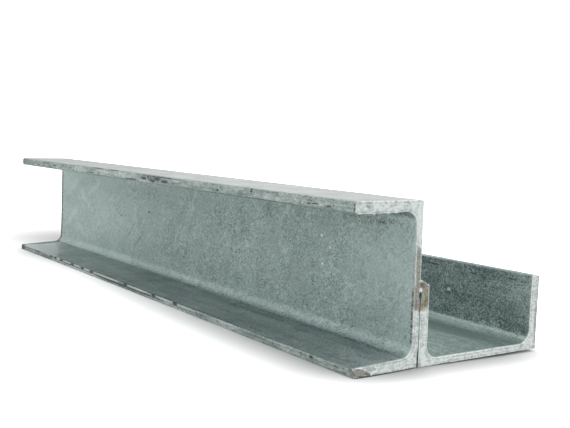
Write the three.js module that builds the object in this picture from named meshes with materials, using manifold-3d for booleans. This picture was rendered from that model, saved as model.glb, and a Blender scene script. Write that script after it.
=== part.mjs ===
// Ninety-degree corner post: two lengths of one parallel flange channel, welded back to flange.
// The standing channel opens towards -Y. The lying channel opens upwards, and one of its flanges is
// flat against the standing channel's back. Stitch welds fill the corner over that flange's toe.
// Millimetres. +X runs along the post, +Y from the standing channel to the lying one, +Z is up,
// and the origin is the middle of the underside.
import * as THREE from 'three';
import { mergeVertices } from 'three/addons/utils/BufferGeometryUtils.js';
import Module from 'manifold-3d';

// The rolled section, which both channels share
const SECTION_DEPTH = 100;        // outside of one flange to the outside of the other
const FLANGE_WIDTH = 50;          // back of the web to the flange toes
const WEB_THICKNESS = 4.8;
const FLANGE_THICKNESS = 6.8;
const ROOT_RADIUS = 8;            // fillet between web and flange
const TOE_RADIUS = 1.3;           // rounding of the flange edges
const HEEL_RADIUS = 0.8;          // rounding of the section's two outer corners

// The post
const POST_LENGTH = 600;          // sawn length of both channels
const SEAM_GAP = 0.5;             // between the standing channel's back and the lying flange

// The stitch welds over the lying flange's toe
const WELD_LENGTH = 60;
const WELD_PITCH = 180;           // wanted distance from the start of one weld to the next
const WELD_RISE = 3.2;            // up the standing channel's back
const WELD_CROWN = 0.7;           // how far the bead's face bulges past a straight line
const WELD_TAPER = 7;             // length over which a free end runs out
const WELD_END_SHARE = 0.35;      // height left at a free end, as a share of the full bead
const RIPPLE_PITCH = 4;           // distance between two ripples of the bead
const RIPPLE_SHARE = 0.12;        // depth of a ripple, as a share of the full bead

// The pocket that the weld leaves in the seam at the +X end, under its root
const POCKET_BELOW_TOE = 7;       // from the lying flange's toe down to the pocket's middle
const POCKET_HEIGHT = 9;
const POCKET_WIDTH = 3.2;         // across both pieces and the seam between them
const POCKET_DEPTH = 4;           // in from the sawn end

// The corner knocked off the standing channel's lower toe at the +X end, measured along each axis
const CHIP_ALONG = 5;
const CHIP_ACROSS = 3.5;
const CHIP_UP = 5.5;

// How finely curves are faceted
const ARC_SEGMENTS = 8;
const CROWN_SEGMENTS = 8;
const POCKET_SEGMENTS = 12;
const STEPS_PER_RIPPLE = 4;

// Places worked out from the sizes
const POST_WIDTH = FLANGE_WIDTH + SEAM_GAP + SECTION_DEPTH;
const STANDING_BACK_Y = FLANGE_WIDTH - POST_WIDTH / 2;
const END_X = POST_LENGTH / 2;
const WELD_LEG = SEAM_GAP + FLANGE_THICKNESS - TOE_RADIUS;

const ALONG_Y = new THREE.Vector3(0, 1, 0);
const ALONG_Z = new THREE.Vector3(0, 0, 1);

const wasm = await Module();
wasm.setup();

const rolledZinc = new THREE.MeshStandardMaterial({
  name: 'zinc_on_rolled_steel', color: 0x8d9a96, roughness: 0.5, metalness: 0.75,
});
const weldZinc = new THREE.MeshStandardMaterial({
  name: 'zinc_on_weld', color: 0xa9b0ab, roughness: 0.6, metalness: 0.7,
});

function namedMesh(name, geometry, material) {
  const mesh = new THREE.Mesh(geometry, material.clone());
  mesh.name = name;
  return mesh;
}

// Stands a mesh at a place in the post, with its own x and y pointing along two directions.
function stand(mesh, origin, xTo, yTo) {
  const zTo = new THREE.Vector3().crossVectors(xTo, yTo);
  mesh.setRotationFromMatrix(new THREE.Matrix4().makeBasis(xTo, yTo, zTo));
  mesh.position.copy(origin);
  return mesh;
}

function toSolid(geometry) {
  const bare = geometry.clone();
  bare.deleteAttribute('normal');
  bare.deleteAttribute('uv');
  const merged = mergeVertices(bare);
  return new wasm.Manifold(new wasm.Mesh({
    numProp: 3,
    vertProperties: merged.attributes.position.array,
    triVerts: new Uint32Array(merged.index.array),
  }));
}

function toGeometry(solid) {
  const { vertProperties, triVerts } = solid.getMesh();
  const geometry = new THREE.BufferGeometry();
  geometry.setAttribute('position', new THREE.BufferAttribute(vertProperties, 3));
  geometry.setIndex(new THREE.BufferAttribute(triVerts, 1));
  geometry.computeVertexNormals();
  return geometry;
}

function cutFrom(geometry, ...cutters) {
  const solid = cutters.reduce((left, cutter) => left.subtract(toSolid(cutter)), toSolid(geometry));
  return toGeometry(solid);
}

// Outline of the channel: x from the web's back to the toes, y across the section's depth.
function channelOutline() {
  const quarter = Math.PI / 2;
  const toeX = FLANGE_WIDTH - TOE_RADIUS;
  const rootX = WEB_THICKNESS + ROOT_RADIUS;
  const rootY = FLANGE_THICKNESS + ROOT_RADIUS;
  const outline = new THREE.Shape();
  outline.moveTo(HEEL_RADIUS, 0);
  outline.lineTo(toeX, 0);
  outline.absarc(toeX, TOE_RADIUS, TOE_RADIUS, -quarter, 0);
  outline.absarc(toeX, FLANGE_THICKNESS - TOE_RADIUS, TOE_RADIUS, 0, quarter);
  outline.absarc(rootX, rootY, ROOT_RADIUS, -quarter, -2 * quarter, true);
  outline.absarc(rootX, SECTION_DEPTH - rootY, ROOT_RADIUS, 2 * quarter, quarter, true);
  outline.absarc(toeX, SECTION_DEPTH - FLANGE_THICKNESS + TOE_RADIUS, TOE_RADIUS, -quarter, 0);
  outline.absarc(toeX, SECTION_DEPTH - TOE_RADIUS, TOE_RADIUS, 0, quarter);
  outline.absarc(HEEL_RADIUS, SECTION_DEPTH - HEEL_RADIUS, HEEL_RADIUS, quarter, 2 * quarter);
  outline.absarc(HEEL_RADIUS, HEEL_RADIUS, HEEL_RADIUS, 2 * quarter, 3 * quarter);
  return outline;
}

// A length of channel as rolled, with the end that the pocket and the chip are in at z = 0.
function rolledChannel() {
  return new THREE.ExtrudeGeometry(channelOutline(), {
    depth: POST_LENGTH, bevelEnabled: false, curveSegments: ARC_SEGMENTS,
  });
}

// Lens between two equal arcs, with its points above and below its middle.
function pocketOutline() {
  const half = POCKET_HEIGHT / 2;
  const bulge = POCKET_WIDTH / 2;
  const radius = (half ** 2 + bulge ** 2) / (2 * bulge);
  const reach = Math.asin(half / radius);
  const outline = new THREE.Shape();
  outline.absarc(bulge - radius, 0, radius, -reach, reach);
  outline.absarc(radius - bulge, 0, radius, Math.PI - reach, Math.PI + reach);
  return outline;
}

// Cuts as deep as the pocket on both sides of z = 0. It stands along y, or is turned to lie along x.
function pocketCutter(x, y, turn) {
  const lens = new THREE.ExtrudeGeometry(pocketOutline(), {
    depth: 2 * POCKET_DEPTH, bevelEnabled: false, curveSegments: POCKET_SEGMENTS,
  });
  return lens.rotateZ(turn).translate(x, y, -POCKET_DEPTH);
}

// A block outside the plane that cuts off the lower toe's corner, at (FLANGE_WIDTH, 0, 0).
function chipCutter() {
  const corner = new THREE.Vector3(FLANGE_WIDTH, 0, 0);
  const plane = new THREE.Plane().setFromCoplanarPoints(
    new THREE.Vector3(FLANGE_WIDTH - CHIP_ACROSS, 0, 0),
    new THREE.Vector3(FLANGE_WIDTH, 0, CHIP_ALONG),
    new THREE.Vector3(FLANGE_WIDTH, CHIP_UP, 0),
  );
  if (plane.distanceToPoint(corner) < 0) plane.negate();
  const side = 2 * (CHIP_ALONG + CHIP_ACROSS + CHIP_UP);
  const block = new THREE.BoxGeometry(side, side, side);
  block.applyQuaternion(new THREE.Quaternion().setFromUnitVectors(ALONG_Z, plane.normal));
  const middle = plane.projectPoint(corner, new THREE.Vector3());
  middle.addScaledVector(plane.normal, side / 2);
  return block.translate(middle.x, middle.y, middle.z);
}

// Opens sideways: its back faces the lying channel and its lower flange is on the ground.
function standingChannel() {
  const pocket = pocketCutter(-SEAM_GAP / 2, FLANGE_WIDTH - POCKET_BELOW_TOE, 0);
  const steel = cutFrom(rolledChannel(), pocket, chipCutter());
  const mesh = namedMesh('standing_channel', steel, rolledZinc);
  const corner = new THREE.Vector3(END_X, STANDING_BACK_Y, 0);
  return stand(mesh, corner, ALONG_Y.clone().negate(), ALONG_Z);
}

// Opens upwards: its web is on the ground and its first flange is against the standing back.
function lyingChannel() {
  const pocket = pocketCutter(FLANGE_WIDTH - POCKET_BELOW_TOE, -SEAM_GAP / 2, Math.PI / 2);
  const steel = cutFrom(rolledChannel(), pocket);
  const mesh = namedMesh('lying_channel', steel, rolledZinc);
  return stand(mesh, new THREE.Vector3(END_X, STANDING_BACK_Y + SEAM_GAP, 0), ALONG_Z, ALONG_Y);
}

// Section of a bead: x out over the flange toe, y up the back, with a crowned face between them.
function beadOutline() {
  const bulge = 2 * WELD_CROWN / Math.hypot(WELD_LEG, WELD_RISE);
  const outline = new THREE.Shape();
  outline.moveTo(0, 0);
  outline.lineTo(WELD_LEG, 0);
  outline.quadraticCurveTo(
    WELD_LEG / 2 + bulge * WELD_RISE, WELD_RISE / 2 + bulge * WELD_LEG, 0, WELD_RISE,
  );
  return outline;
}

// Height of a bead at a distance along it, as a share of the full section: ripples all the way,
// and a free end that runs out on a quarter of an ellipse.
function beadShare(along, freeStart, freeEnd) {
  const ripple = RIPPLE_SHARE * Math.abs(Math.sin(Math.PI * along / RIPPLE_PITCH));
  const reach = Math.min(
    freeStart ? along : WELD_TAPER, freeEnd ? WELD_LENGTH - along : WELD_TAPER, WELD_TAPER,
  );
  const runOut = Math.sqrt(1 - (1 - reach / WELD_TAPER) ** 2);
  return (1 - ripple) * (WELD_END_SHARE + (1 - WELD_END_SHARE) * runOut);
}

// A fillet bead that starts at a distance along the post. Each section shrinks towards the corner,
// so both legs stay on the steel that they are welded to.
function toeWeld(name, startX, freeStart, freeEnd) {
  const bead = new THREE.ExtrudeGeometry(beadOutline(), {
    depth: WELD_LENGTH,
    steps: Math.round(WELD_LENGTH / RIPPLE_PITCH) * STEPS_PER_RIPPLE,
    bevelEnabled: false,
    curveSegments: CROWN_SEGMENTS,
  });
  const places = bead.attributes.position;
  for (let i = 0; i < places.count; i += 1) {
    const share = beadShare(places.getZ(i), freeStart, freeEnd);
    places.setXY(i, places.getX(i) * share, places.getY(i) * share);
  }
  bead.computeVertexNormals();
  const corner = new THREE.Vector3(startX, STANDING_BACK_Y, FLANGE_WIDTH);
  return stand(namedMesh(name, bead, weldZinc), corner, ALONG_Y, ALONG_Z);
}

// The first weld starts flush with one sawn end, and the last finishes flush with the other.
function toeWelds() {
  const run = POST_LENGTH - WELD_LENGTH;
  const gaps = Math.max(1, Math.round(run / WELD_PITCH));
  return Array.from({ length: gaps + 1 }, (_, i) => (
    toeWeld(`toe_weld_${i + 1}`, run * i / gaps - END_X, i > 0, i < gaps)
  ));
}

const cornerPost = new THREE.Group();
cornerPost.name = 'corner_post';
cornerPost.add(standingChannel(), lyingChannel(), ...toeWelds());

export default cornerPost;
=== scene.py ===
"""Finished looks of a right-angle corner post: two galvanised channels, welded back to flange.

Metres, in the post's own frame: +X runs along the post, +Y from the standing channel to the lying
one, and +Z is up. A section is drawn in (u, v): u from the web's back to the flange toes, v across
the section's depth.
"""
import logging
import math
from dataclasses import dataclass, field
from enum import Enum
from functools import partial, reduce
from typing import Optional, Sequence, Union

import bpy
import numpy as np
from mathutils import Matrix, Vector


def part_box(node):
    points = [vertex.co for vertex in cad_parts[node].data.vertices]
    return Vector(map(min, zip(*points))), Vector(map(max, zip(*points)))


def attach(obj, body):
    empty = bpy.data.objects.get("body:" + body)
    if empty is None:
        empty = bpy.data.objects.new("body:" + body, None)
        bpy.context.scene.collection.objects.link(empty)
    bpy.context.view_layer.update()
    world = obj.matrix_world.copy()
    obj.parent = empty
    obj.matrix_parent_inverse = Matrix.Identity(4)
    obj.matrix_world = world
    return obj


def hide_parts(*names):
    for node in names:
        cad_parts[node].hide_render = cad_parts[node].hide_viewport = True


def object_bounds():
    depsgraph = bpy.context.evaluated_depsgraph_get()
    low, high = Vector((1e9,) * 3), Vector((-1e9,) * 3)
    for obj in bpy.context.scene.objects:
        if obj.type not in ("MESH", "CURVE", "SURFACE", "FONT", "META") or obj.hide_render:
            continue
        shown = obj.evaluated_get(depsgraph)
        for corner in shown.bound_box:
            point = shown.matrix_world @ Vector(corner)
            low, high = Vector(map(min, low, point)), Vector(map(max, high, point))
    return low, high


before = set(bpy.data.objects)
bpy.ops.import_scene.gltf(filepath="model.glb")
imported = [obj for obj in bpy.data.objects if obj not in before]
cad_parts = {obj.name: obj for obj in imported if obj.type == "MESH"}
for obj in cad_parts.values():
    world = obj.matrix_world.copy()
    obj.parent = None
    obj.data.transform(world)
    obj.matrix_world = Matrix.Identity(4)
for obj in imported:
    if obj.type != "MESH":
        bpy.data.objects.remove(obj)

LOG = logging.getLogger("corner_post")
MM = 0.001
CAD_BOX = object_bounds()
STANDING, LYING = "standing_channel", "lying_channel"

Colour = tuple[float, float, float]
Place = tuple[float, float, float]
Pair = tuple[float, float]


def linear(level: float) -> float:
    """A screen level of 0 to 1 as a linear one, by the sRGB curve."""
    return level / 12.92 if level <= 0.04045 else ((level + 0.055) / 1.055) ** 2.4


def srgb(*levels: int) -> Colour:
    """Turns a screen colour of three levels of 0 to 255 into the linear one that a shader takes."""
    return tuple(linear(level / 255) for level in levels)


# ---------------------------------------------------------------------------------------------
# Shapes
# ---------------------------------------------------------------------------------------------

def spread(stops: Sequence[float], counts: Sequence[int]) -> np.ndarray:
    """Cuts a line into steps that change size from stretch to stretch.

    Args:
        stops: the ends of the stretches, in order.
        counts: how many equal steps each stretch has.

    Returns:
        Every step's place, from the first stop to the last.
    """
    ends = np.cumsum([0, *counts])
    return np.interp(np.arange(ends[-1] + 1), ends, stops)


def smooth_noise(points: np.ndarray, size: Union[float, Sequence[float]], seed: int) -> np.ndarray:
    """Gentle random relief: random levels on a cubic lattice, blended between its corners.

    Each lattice corner takes its level from a seeded table by a hash of its whole numbers, and the
    blend along each axis is 3t^2 - 2t^3.

    Args:
        points: places, one row each.
        size: the lattice's pitch, one for all axes or one for each.
        seed: chooses the table.

    Returns:
        One level from 0 to 1 for each point.
    """
    table = np.random.default_rng(seed).random(8192)
    cell = points / np.broadcast_to(np.asarray(size, float), (3,))
    corner = np.floor(cell).astype(np.int64)
    part = cell - corner
    part = part * part * (3 - 2 * part)
    level = np.zeros(len(points))
    for step in np.ndindex(2, 2, 2):
        at = corner + step
        key = (at[:, 0] * 73856093) ^ (at[:, 1] * 19349663) ^ (at[:, 2] * 83492791)
        weight = np.where(step, part, 1 - part).prod(axis=1)
        level += weight * table[key & 8191]
    return level


def joined(*lines: np.ndarray) -> np.ndarray:
    """Joins lines that share their end points."""
    return np.concatenate([lines[0], *(line[1:] for line in lines[1:])])


def arc(centre: Pair, radius: float, start: float, end: float, steps: int) -> np.ndarray:
    """Draws an arc: centre + radius (cos a, sin a).

    Args:
        centre: its centre.
        radius: its radius.
        start: the angle of its first point, in degrees.
        end: the angle of its last point.
        steps: how many equal steps it has.

    Returns:
        The points, one row each.
    """
    angle = np.radians(np.linspace(start, end, steps + 1))
    return np.stack([np.cos(angle), np.sin(angle)], axis=1) * radius + centre


def turned_left(loop: np.ndarray) -> np.ndarray:
    """Turns a closed line's tangents left.

    Args:
        loop: the line's points, one row each.

    Returns:
        The unit vector at each point, which looks into a body that the line runs round leftwards.
    """
    tangent = np.roll(loop, -1, axis=0) - np.roll(loop, 1, axis=0)
    left = np.stack([-tangent[:, 1], tangent[:, 0]], axis=1)
    return left / np.linalg.norm(left, axis=1, keepdims=True)


def make_piece(name: str, vertices: np.ndarray, quads: np.ndarray,
               attributes: dict[str, np.ndarray],
               ends: Sequence[Sequence[int]] = ()) -> bpy.types.Object:
    """Makes a smooth-shaded mesh object at the origin.

    Args:
        name: the piece's name.
        vertices: places in metres, one row each.
        quads: four vertex numbers for each face, counter-clockwise from outside.
        attributes: one number for each vertex, by the name that a material reads.
        ends: the vertex numbers of each many-sided face that closes a tube.

    Returns:
        The object, linked to the scene.
    """
    mesh = bpy.data.meshes.new(name)
    mesh.from_pydata(vertices.tolist(), [], [*quads.tolist(), *ends])
    mesh.polygons.foreach_set("use_smooth", np.ones(len(mesh.polygons), bool))
    for key, values in attributes.items():
        layer = mesh.attributes.new(key, "FLOAT", "POINT")
        layer.data.foreach_set("value", values.astype(np.float32))
    mesh.update()
    piece = bpy.data.objects.new(name, mesh)
    bpy.context.scene.collection.objects.link(piece)
    return piece


def tube_quads(stations: int, around: int) -> np.ndarray:
    """Faces between neighbouring loops of a tube whose vertices are numbered loop by loop.

    Args:
        stations: how many loops there are.
        around: how many vertices each loop has.

    Returns:
        Vertex numbers. They face outwards where the loop runs clockwise as seen from the last
        station, which is counter-clockwise in a section's (u, v).
    """
    number = np.arange(stations * around).reshape(stations, around)
    onward = np.roll(number, -1, axis=1)
    rows = (number[:-1], number[1:], onward[1:], onward[:-1])
    return np.stack(rows, axis=-1).reshape(-1, 4)


def tube_ends(stations: int, around: int) -> list[list[int]]:
    """The two faces that close the first and the last loop of a tube, turned as its quads are.

    Args:
        stations: how many loops there are.
        around: how many vertices each loop has.

    Returns:
        The vertex numbers of each.
    """
    last = (stations - 1) * around
    return [list(range(around)), list(range(last, last + around))[::-1]]


def grid_quads(number: np.ndarray, flip: bool) -> np.ndarray:
    """Faces of a grid of vertex numbers.

    Args:
        number: the vertex number at each place of the grid.
        flip: turns the faces over.

    Returns:
        Vertex numbers, four for each face.
    """
    corners = [number[:-1, :-1], number[1:, :-1], number[1:, 1:], number[:-1, 1:]]
    if flip:
        corners.reverse()
    return np.stack(corners, axis=-1).reshape(-1, 4)


class Lie(Enum):
    """How a channel lies in the post: the directions of its section's u and v."""

    STANDING = ((0, -1, 0), (0, 0, 1))
    LYING = ((0, 0, 1), (0, 1, 0))

    def lift(self, along: np.ndarray, section: np.ndarray) -> np.ndarray:
        """Turns section vectors into post vectors: u and v times their directions.

        Args:
            along: the x of each.
            section: the (u, v) of each.

        Returns:
            One row (x, y, z) for each.
        """
        across, up = (np.array(axis, float) for axis in self.value)
        lifted = section[..., :1] * across + section[..., 1:] * up
        lifted[..., 0] = along
        return lifted


@dataclass(frozen=True)
class Section:
    """The rolled channel's section, with its toes and root fillets rounded as rolled."""

    depth: float
    flange_width: float
    web: float = 4.8 * MM
    flange: float = 6.8 * MM
    root_radius: float = 8 * MM
    toe_radii: tuple[Pair, Pair] = ((1.3 * MM, 1.3 * MM),) * 2  # lower and upper: outer, inner
    heel_radius: float = 0.8 * MM
    fine: float = 0.3 * MM          # the short step beside a rounding
    near_toe: Pair = (5 * MM, 12 * MM)  # how far from a toe the flange's steps grow
    weld_drop: float = 7 * MM       # how far under the other channel's toe the weld's pocket is
    weld_reach: float = 6 * MM      # the web's steps are finer this near it
    toe_steps: int = 3
    root_steps: int = 12
    through_steps: int = 12
    flange_steps: Sequence[int] = (1, 7, 9, 12, 1)
    web_steps: Sequence[int] = (1, 12, 16, 20, 1)

    @property
    def root(self) -> Pair:
        """Where the root fillet ends: u on the flange, and v on the web."""
        return self.web + self.root_radius, self.flange + self.root_radius

    def walls(self) -> tuple[np.ndarray, np.ndarray]:
        """Draws the inner and the outer wall with as many points each, in (u, v).

        Both run from the middle of the lower toe's rounding, over the flange, the root and the web,
        to the middle of the upper toe's rounding.

        Returns:
            The inner and the outer wall.
        """
        inner, outer = zip(*(
            (joined(self._toe_inner(soft), self._flange(self.flange, soft), self._root_inner()),
             joined(self._toe_outer(hard), self._flange(0.0, hard), self._heel()))
            for hard, soft in self.toe_radii))
        return self._whole(*inner, self.web), self._whole(*outer, 0.0)

    def _toe_inner(self, radius: float) -> np.ndarray:
        """Half the rounding between the toe's face and the flange's inner face."""
        centre = (self.flange_width - radius, self.flange - radius)
        return arc(centre, radius, 45, 90, self.toe_steps)

    def _toe_outer(self, radius: float) -> np.ndarray:
        """Half the rounding between the toe's face and the flange's outer face."""
        centre = (self.flange_width - radius, radius)
        return arc(centre, radius, -45, -90, self.toe_steps)

    def _flange(self, v: float, toe_radius: float) -> np.ndarray:
        """Draws a flat of the flange, with short steps near the toe and at both roundings.

        Args:
            v: the flat's height in the section.
            toe_radius: the rounding that it starts from.

        Returns:
            The points, from the toe to the root.
        """
        start, end = self.flange_width - toe_radius, self.root[0]
        grown = (start - off for off in self.near_toe)
        u = spread((start, start - self.fine, *grown, end + self.fine, end), self.flange_steps)
        return np.stack([u, np.full_like(u, v)], axis=1)

    def _root_inner(self) -> np.ndarray:
        """The root fillet, from the flange to the web."""
        return arc(self.root, self.root_radius, -90, -180, self.root_steps)

    def _heel(self) -> np.ndarray:
        """Draws the outer corner opposite the root fillet: a flat, a small rounding and a flat.

        Returns:
            As many points as the root fillet has.
        """
        flats, rounding = self.root_steps // 3, self.root_steps // 3
        radius = self.heel_radius
        u = spread((self.root[0], radius + self.fine, radius), (flats - 1, 1))
        v = spread((radius, radius + self.fine, self.root[1]), (1, flats - 1))
        bottom = np.stack([u, np.zeros_like(u)], axis=1)
        back = np.stack([np.zeros_like(v), v], axis=1)
        return joined(bottom, arc((radius, radius), radius, -90, -180, rounding), back)

    def _whole(self, lower: np.ndarray, upper: np.ndarray, u: float) -> np.ndarray:
        """Joins the lower half, the web and the upper half.

        Args:
            lower: the lower half, from the toe.
            upper: the upper half, drawn as a lower one.
            u: where the web's face lies.

        Returns:
            The wall, from the lower toe to the upper one.
        """
        start, weld = self.root[1], self.flange_width - self.weld_drop
        stops = (start, start + self.fine, weld - self.weld_reach, weld + self.weld_reach,
                 self.depth - start - self.fine, self.depth - start)
        v = spread(stops, self.web_steps)
        web = np.stack([np.full_like(v, u), v], axis=1)
        mirrored = upper[::-1] * (1, -1) + (0, self.depth)
        return joined(lower, web, mirrored)


@dataclass(frozen=True)
class Mark:
    """A spot on the steel, as an ellipsoid round a place of the post.

    depth is how far it is sunk in its middle, or stands proud where it is negative. dark says how
    dark its ground is, from 0 to 1, and is negative where it is pale.
    """

    place: Place
    reach: Place
    depth: float = 0.0
    dark: float = 0.0

    def share(self, points: np.ndarray) -> np.ndarray:
        """1 in the middle and 0 outside: (1 - q^2)^2, with q the distance in reaches."""
        away = (points - np.array(self.place) * MM) / (np.array(self.reach) * MM)
        return np.clip(1 - (away ** 2).sum(axis=1), 0, 1) ** 2


def row_of_marks(at: Sequence[Pair], side: float, reach: Place, depth: float,
                 dark: float) -> list[Mark]:
    """Like spots at several (x, z) places of one face, whose y is side."""
    return [Mark((x, side, z), reach, depth, dark) for x, z in at]


@dataclass(frozen=True)
class Pocket:
    """The drop-shaped hole that the weld leaves in the seam at the +X end."""

    widest: float = 43.8 * MM       # how high over the floor it is widest
    above: float = 1.9 * MM         # how far it reaches up from there, and down
    below: float = 3.2 * MM
    width: float = 2.1 * MM
    depth: float = 3 * MM

    def sink(self, up: np.ndarray, behind_end: np.ndarray, half_gap: float) -> np.ndarray:
        """Sinks a wall beside the seam.

        Half the pocket's width falls as 1 - q^2, with q the height off its widest place in
        reaches, less half the seam. It narrows inwards by the root of what is left of its depth.

        Args:
            up: the height of each point.
            behind_end: how far each point lies behind the sawn end.
            half_gap: half the seam's width.

        Returns:
            How far each point is sunk.
        """
        off = up - self.widest
        q = np.where(off > 0, off / self.above, off / self.below)
        opening = self.width / 2 * (1 - q ** 2) - half_gap
        fade = np.sqrt(np.clip(1 - behind_end / self.depth, 0, 1))
        return np.clip(opening, 0, None) * fade


@dataclass
class Channel:
    """A length of channel with its worn zinc skin."""

    node: str
    lie: Lie
    slot: str
    marks: Sequence[Mark]
    pocket: Pocket = field(default_factory=Pocket)
    chipped: bool = False
    sunk: float = 0.02 * MM         # the skin's mean depth under the rolled size
    wave: float = 0.14 * MM         # height of the rolled faces' slow waves
    wave_size: float = 70 * MM
    lumps: float = 0.06 * MM        # height of the zinc's own unevenness
    lump_size: float = 5 * MM
    toe_roughness: float = 0.22 * MM
    toe_lumps: Place = (14 * MM, 3 * MM, 1.6 * MM)  # long lumps along the toes
    toe_grit: float = 1.8 * MM      # and short ones
    lean: float = 0.0               # how much thinner the lower flange is at its toe
    swell: float = 0.0              # and how much thicker the upper flange is
    pull: float = 0.0               # how far the welds have drawn the web's free side up
    splay: float = 0.0              # how far the upper flange's toe leans out
    far_cut: Place = (0.0, 0.0, 0.0)  # length over at the -X end: everywhere, at the foot, at +Y
    near_foot: float = 0.0          # how far the lower flange's foot stands out at the +X end
    foot_run: Pair = (40 * MM, 48 * MM)  # how far it eases out along the post, and across
    root_fade: float = 5 * MM
    root_run: float = 8 * MM        # how far the root fillets' painted sheen runs up the web
    rim: float = 0.55 * MM          # rounding of the sawn edges
    rim_steps: int = 4
    near_end_runs: Pair = (6 * MM, 40 * MM)  # the steps grow at these distances from the +X end
    run_steps: Sequence[int] = (8, 24, 130, 124)
    toe_radii: tuple[Pair, Pair] = Section.toe_radii
    toe_band: float = 1.3 * MM      # how deep the toes' own finish reaches
    top_band: float = 0.6 * MM      # and that of the highest faces, painted as lit from above
    far_dark: float = 8 * MM        # how far from the -X end the ground is darker
    half_gap: float = 0.25 * MM
    chip: Place = (0.9 * MM, 0.6 * MM, 8.0 * MM)  # the knocked corner's legs
    chip_edge: float = 0.7 * MM
    chip_grit: float = 1.2 * MM
    chip_roughness: float = 0.35 * MM
    clearance: float = 0.02 * MM    # how far the skin stays off the floor
    seed: int = 1

    def __post_init__(self) -> None:
        """Reads the channel's size and place from the frame."""
        self.low, self.high = (np.array(corner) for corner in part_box(self.node))
        size = self.high - self.low
        across = 1 if self.lie is Lie.STANDING else 2
        self.section = Section(depth=size[3 - across], flange_width=size[across],
                               toe_radii=self.toe_radii)
        back = self.high[1] if self.lie is Lie.STANDING else self.low[1]
        self.origin = np.array((0.0, back, self.low[2]))

    def stations(self) -> np.ndarray:
        """Spaces the loops along the post: close at the rims and towards the +X end.

        Returns:
            The x of each.
        """
        angle = np.radians(np.linspace(0, 90, self.rim_steps + 1))
        rounding = self.rim * (1 - np.cos(angle))
        start, end = self.low[0], self.high[0]
        grown = (end - off for off in self.near_end_runs)
        stops = (end - self.rim, *grown, (start + end) / 2, start + self.rim)
        middle = spread(stops, self.run_steps)[::-1]
        return np.concatenate([start + rounding, middle[1:-1], end - rounding[::-1]])

    def loop(self) -> np.ndarray:
        """Draws the closed outline in (u, v).

        Returns:
            The inner wall, the upper toe, the outer wall back and the lower toe.
        """
        inner, outer = self.section.walls()
        steps = np.arange(1, self.section.through_steps) / self.section.through_steps
        upper = inner[-1] + (outer[-1] - inner[-1]) * steps[:, None]
        lower = outer[0] + (inner[0] - outer[0]) * steps[:, None]
        for toe in (upper, lower):
            toe[:, 0] = self._toe_face(toe[:, 1])
        return np.concatenate([inner, upper, outer[::-1], lower])

    def _toe_face(self, v: np.ndarray) -> np.ndarray:
        """Draws a toe's face: flat, and rounded off near the outer and the inner face.

        Args:
            v: heights in the section, all of one toe.

        Returns:
            u at each.
        """
        rolled = self.section
        upper = v[0] > rolled.depth / 2
        depth, (outer, inner) = rolled.depth - v if upper else v, rolled.toe_radii[int(upper)]
        u = np.full_like(v, rolled.flange_width)
        for radius, off in ((outer, outer - depth), (inner, depth - rolled.flange + inner)):
            u += np.sqrt(radius ** 2 - np.clip(off, 0, radius) ** 2) - radius
        return u

    def build(self) -> bpy.types.Object:
        """Carries the outline along the stations, sinks the skin and closes the sawn ends.

        Returns:
            The skin's object.
        """
        x, loop = self.stations(), self.loop()
        along, count = len(x), len(loop)
        grid_x, section = np.repeat(x, count), np.tile(loop, (along, 1))
        points = self.lie.lift(grid_x, section) + self.origin + self._bent(section)
        behind_end = self.high[0] - grid_x
        off = np.minimum(grid_x - self.low[0], behind_end)
        toe = self._toe_mask(section)
        top = np.clip((points[:, 2] - self.high[2]) / self.top_band + 1, 0, 1)
        flange, root = self._inner_faces(section)
        depth, dark, pale = self._wear_and_painted_shade(points)
        hole = self._beside_seam(section) * self.pocket.sink(points[:, 2], behind_end,
                                                             self.half_gap)
        sunk = self._relief(points, toe) + depth + self._rim_rounding(off) + hole
        inward = np.tile(turned_left(loop), (along, 1))
        points += self.lie.lift(np.zeros(along * count), inward) * sunk[:, None]

        caps, cap_faces, cap_rim = self._caps(points, along, count)
        cap_depth, cap_dark, cap_pale = self._wear_and_painted_shade(caps)
        none = np.zeros(len(caps))
        caps[:, 0] -= np.sign(caps[:, 0]) * (self._relief(caps, none)
                                             + np.clip(cap_depth, 0, None))
        dark = np.maximum(dark, 1 - (grid_x - self.low[0]) / self.far_dark)
        hollow = np.clip(np.where(hole > 0, behind_end, 0) / self.pocket.depth, 0, 1)
        parts = {
            "sawn": (np.clip(1 - off / self.rim, 0, 1), none + 1),
            "rim": (np.clip(1 - off / (3 * self.rim), 0, 1), cap_rim),
            "flange": (flange, none), "root": (root, none), "toe": (toe, none),
            "top": (top, none), "dark": (dark, cap_dark), "pale": (pale, cap_pale),
            "hollow": (hollow, none),
        }
        attributes = {name: np.concatenate(pair) for name, pair in parts.items()}
        vertices = np.concatenate([points, caps])
        if self.chipped:
            vertices, attributes["chip"] = self._knock_corner(vertices)
        faces = np.concatenate([tube_quads(along, count), *cap_faces])
        return make_piece(self.node + "_skin", self._cut(vertices), faces, attributes)

    def _rim_rounding(self, off: np.ndarray) -> np.ndarray:
        """How far a quarter round sinks the skin at each distance off a sawn end."""
        inside = np.clip(self.rim - off, 0, None)
        return self.rim - np.sqrt(np.clip(self.rim ** 2 - inside ** 2, 0, None))

    def _toe_mask(self, section: np.ndarray) -> np.ndarray:
        """1 on the flange toes, fading over their roundings."""
        start = self.section.flange_width - self.toe_band
        return np.clip((section[:, 0] - start) / self.toe_band, 0, 1)

    def _beside_seam(self, section: np.ndarray) -> np.ndarray:
        """1 on the wall that the seam runs along."""
        side = section[:, 0] if self.lie is Lie.STANDING else section[:, 1]
        return (side < 1e-6).astype(float)

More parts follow.
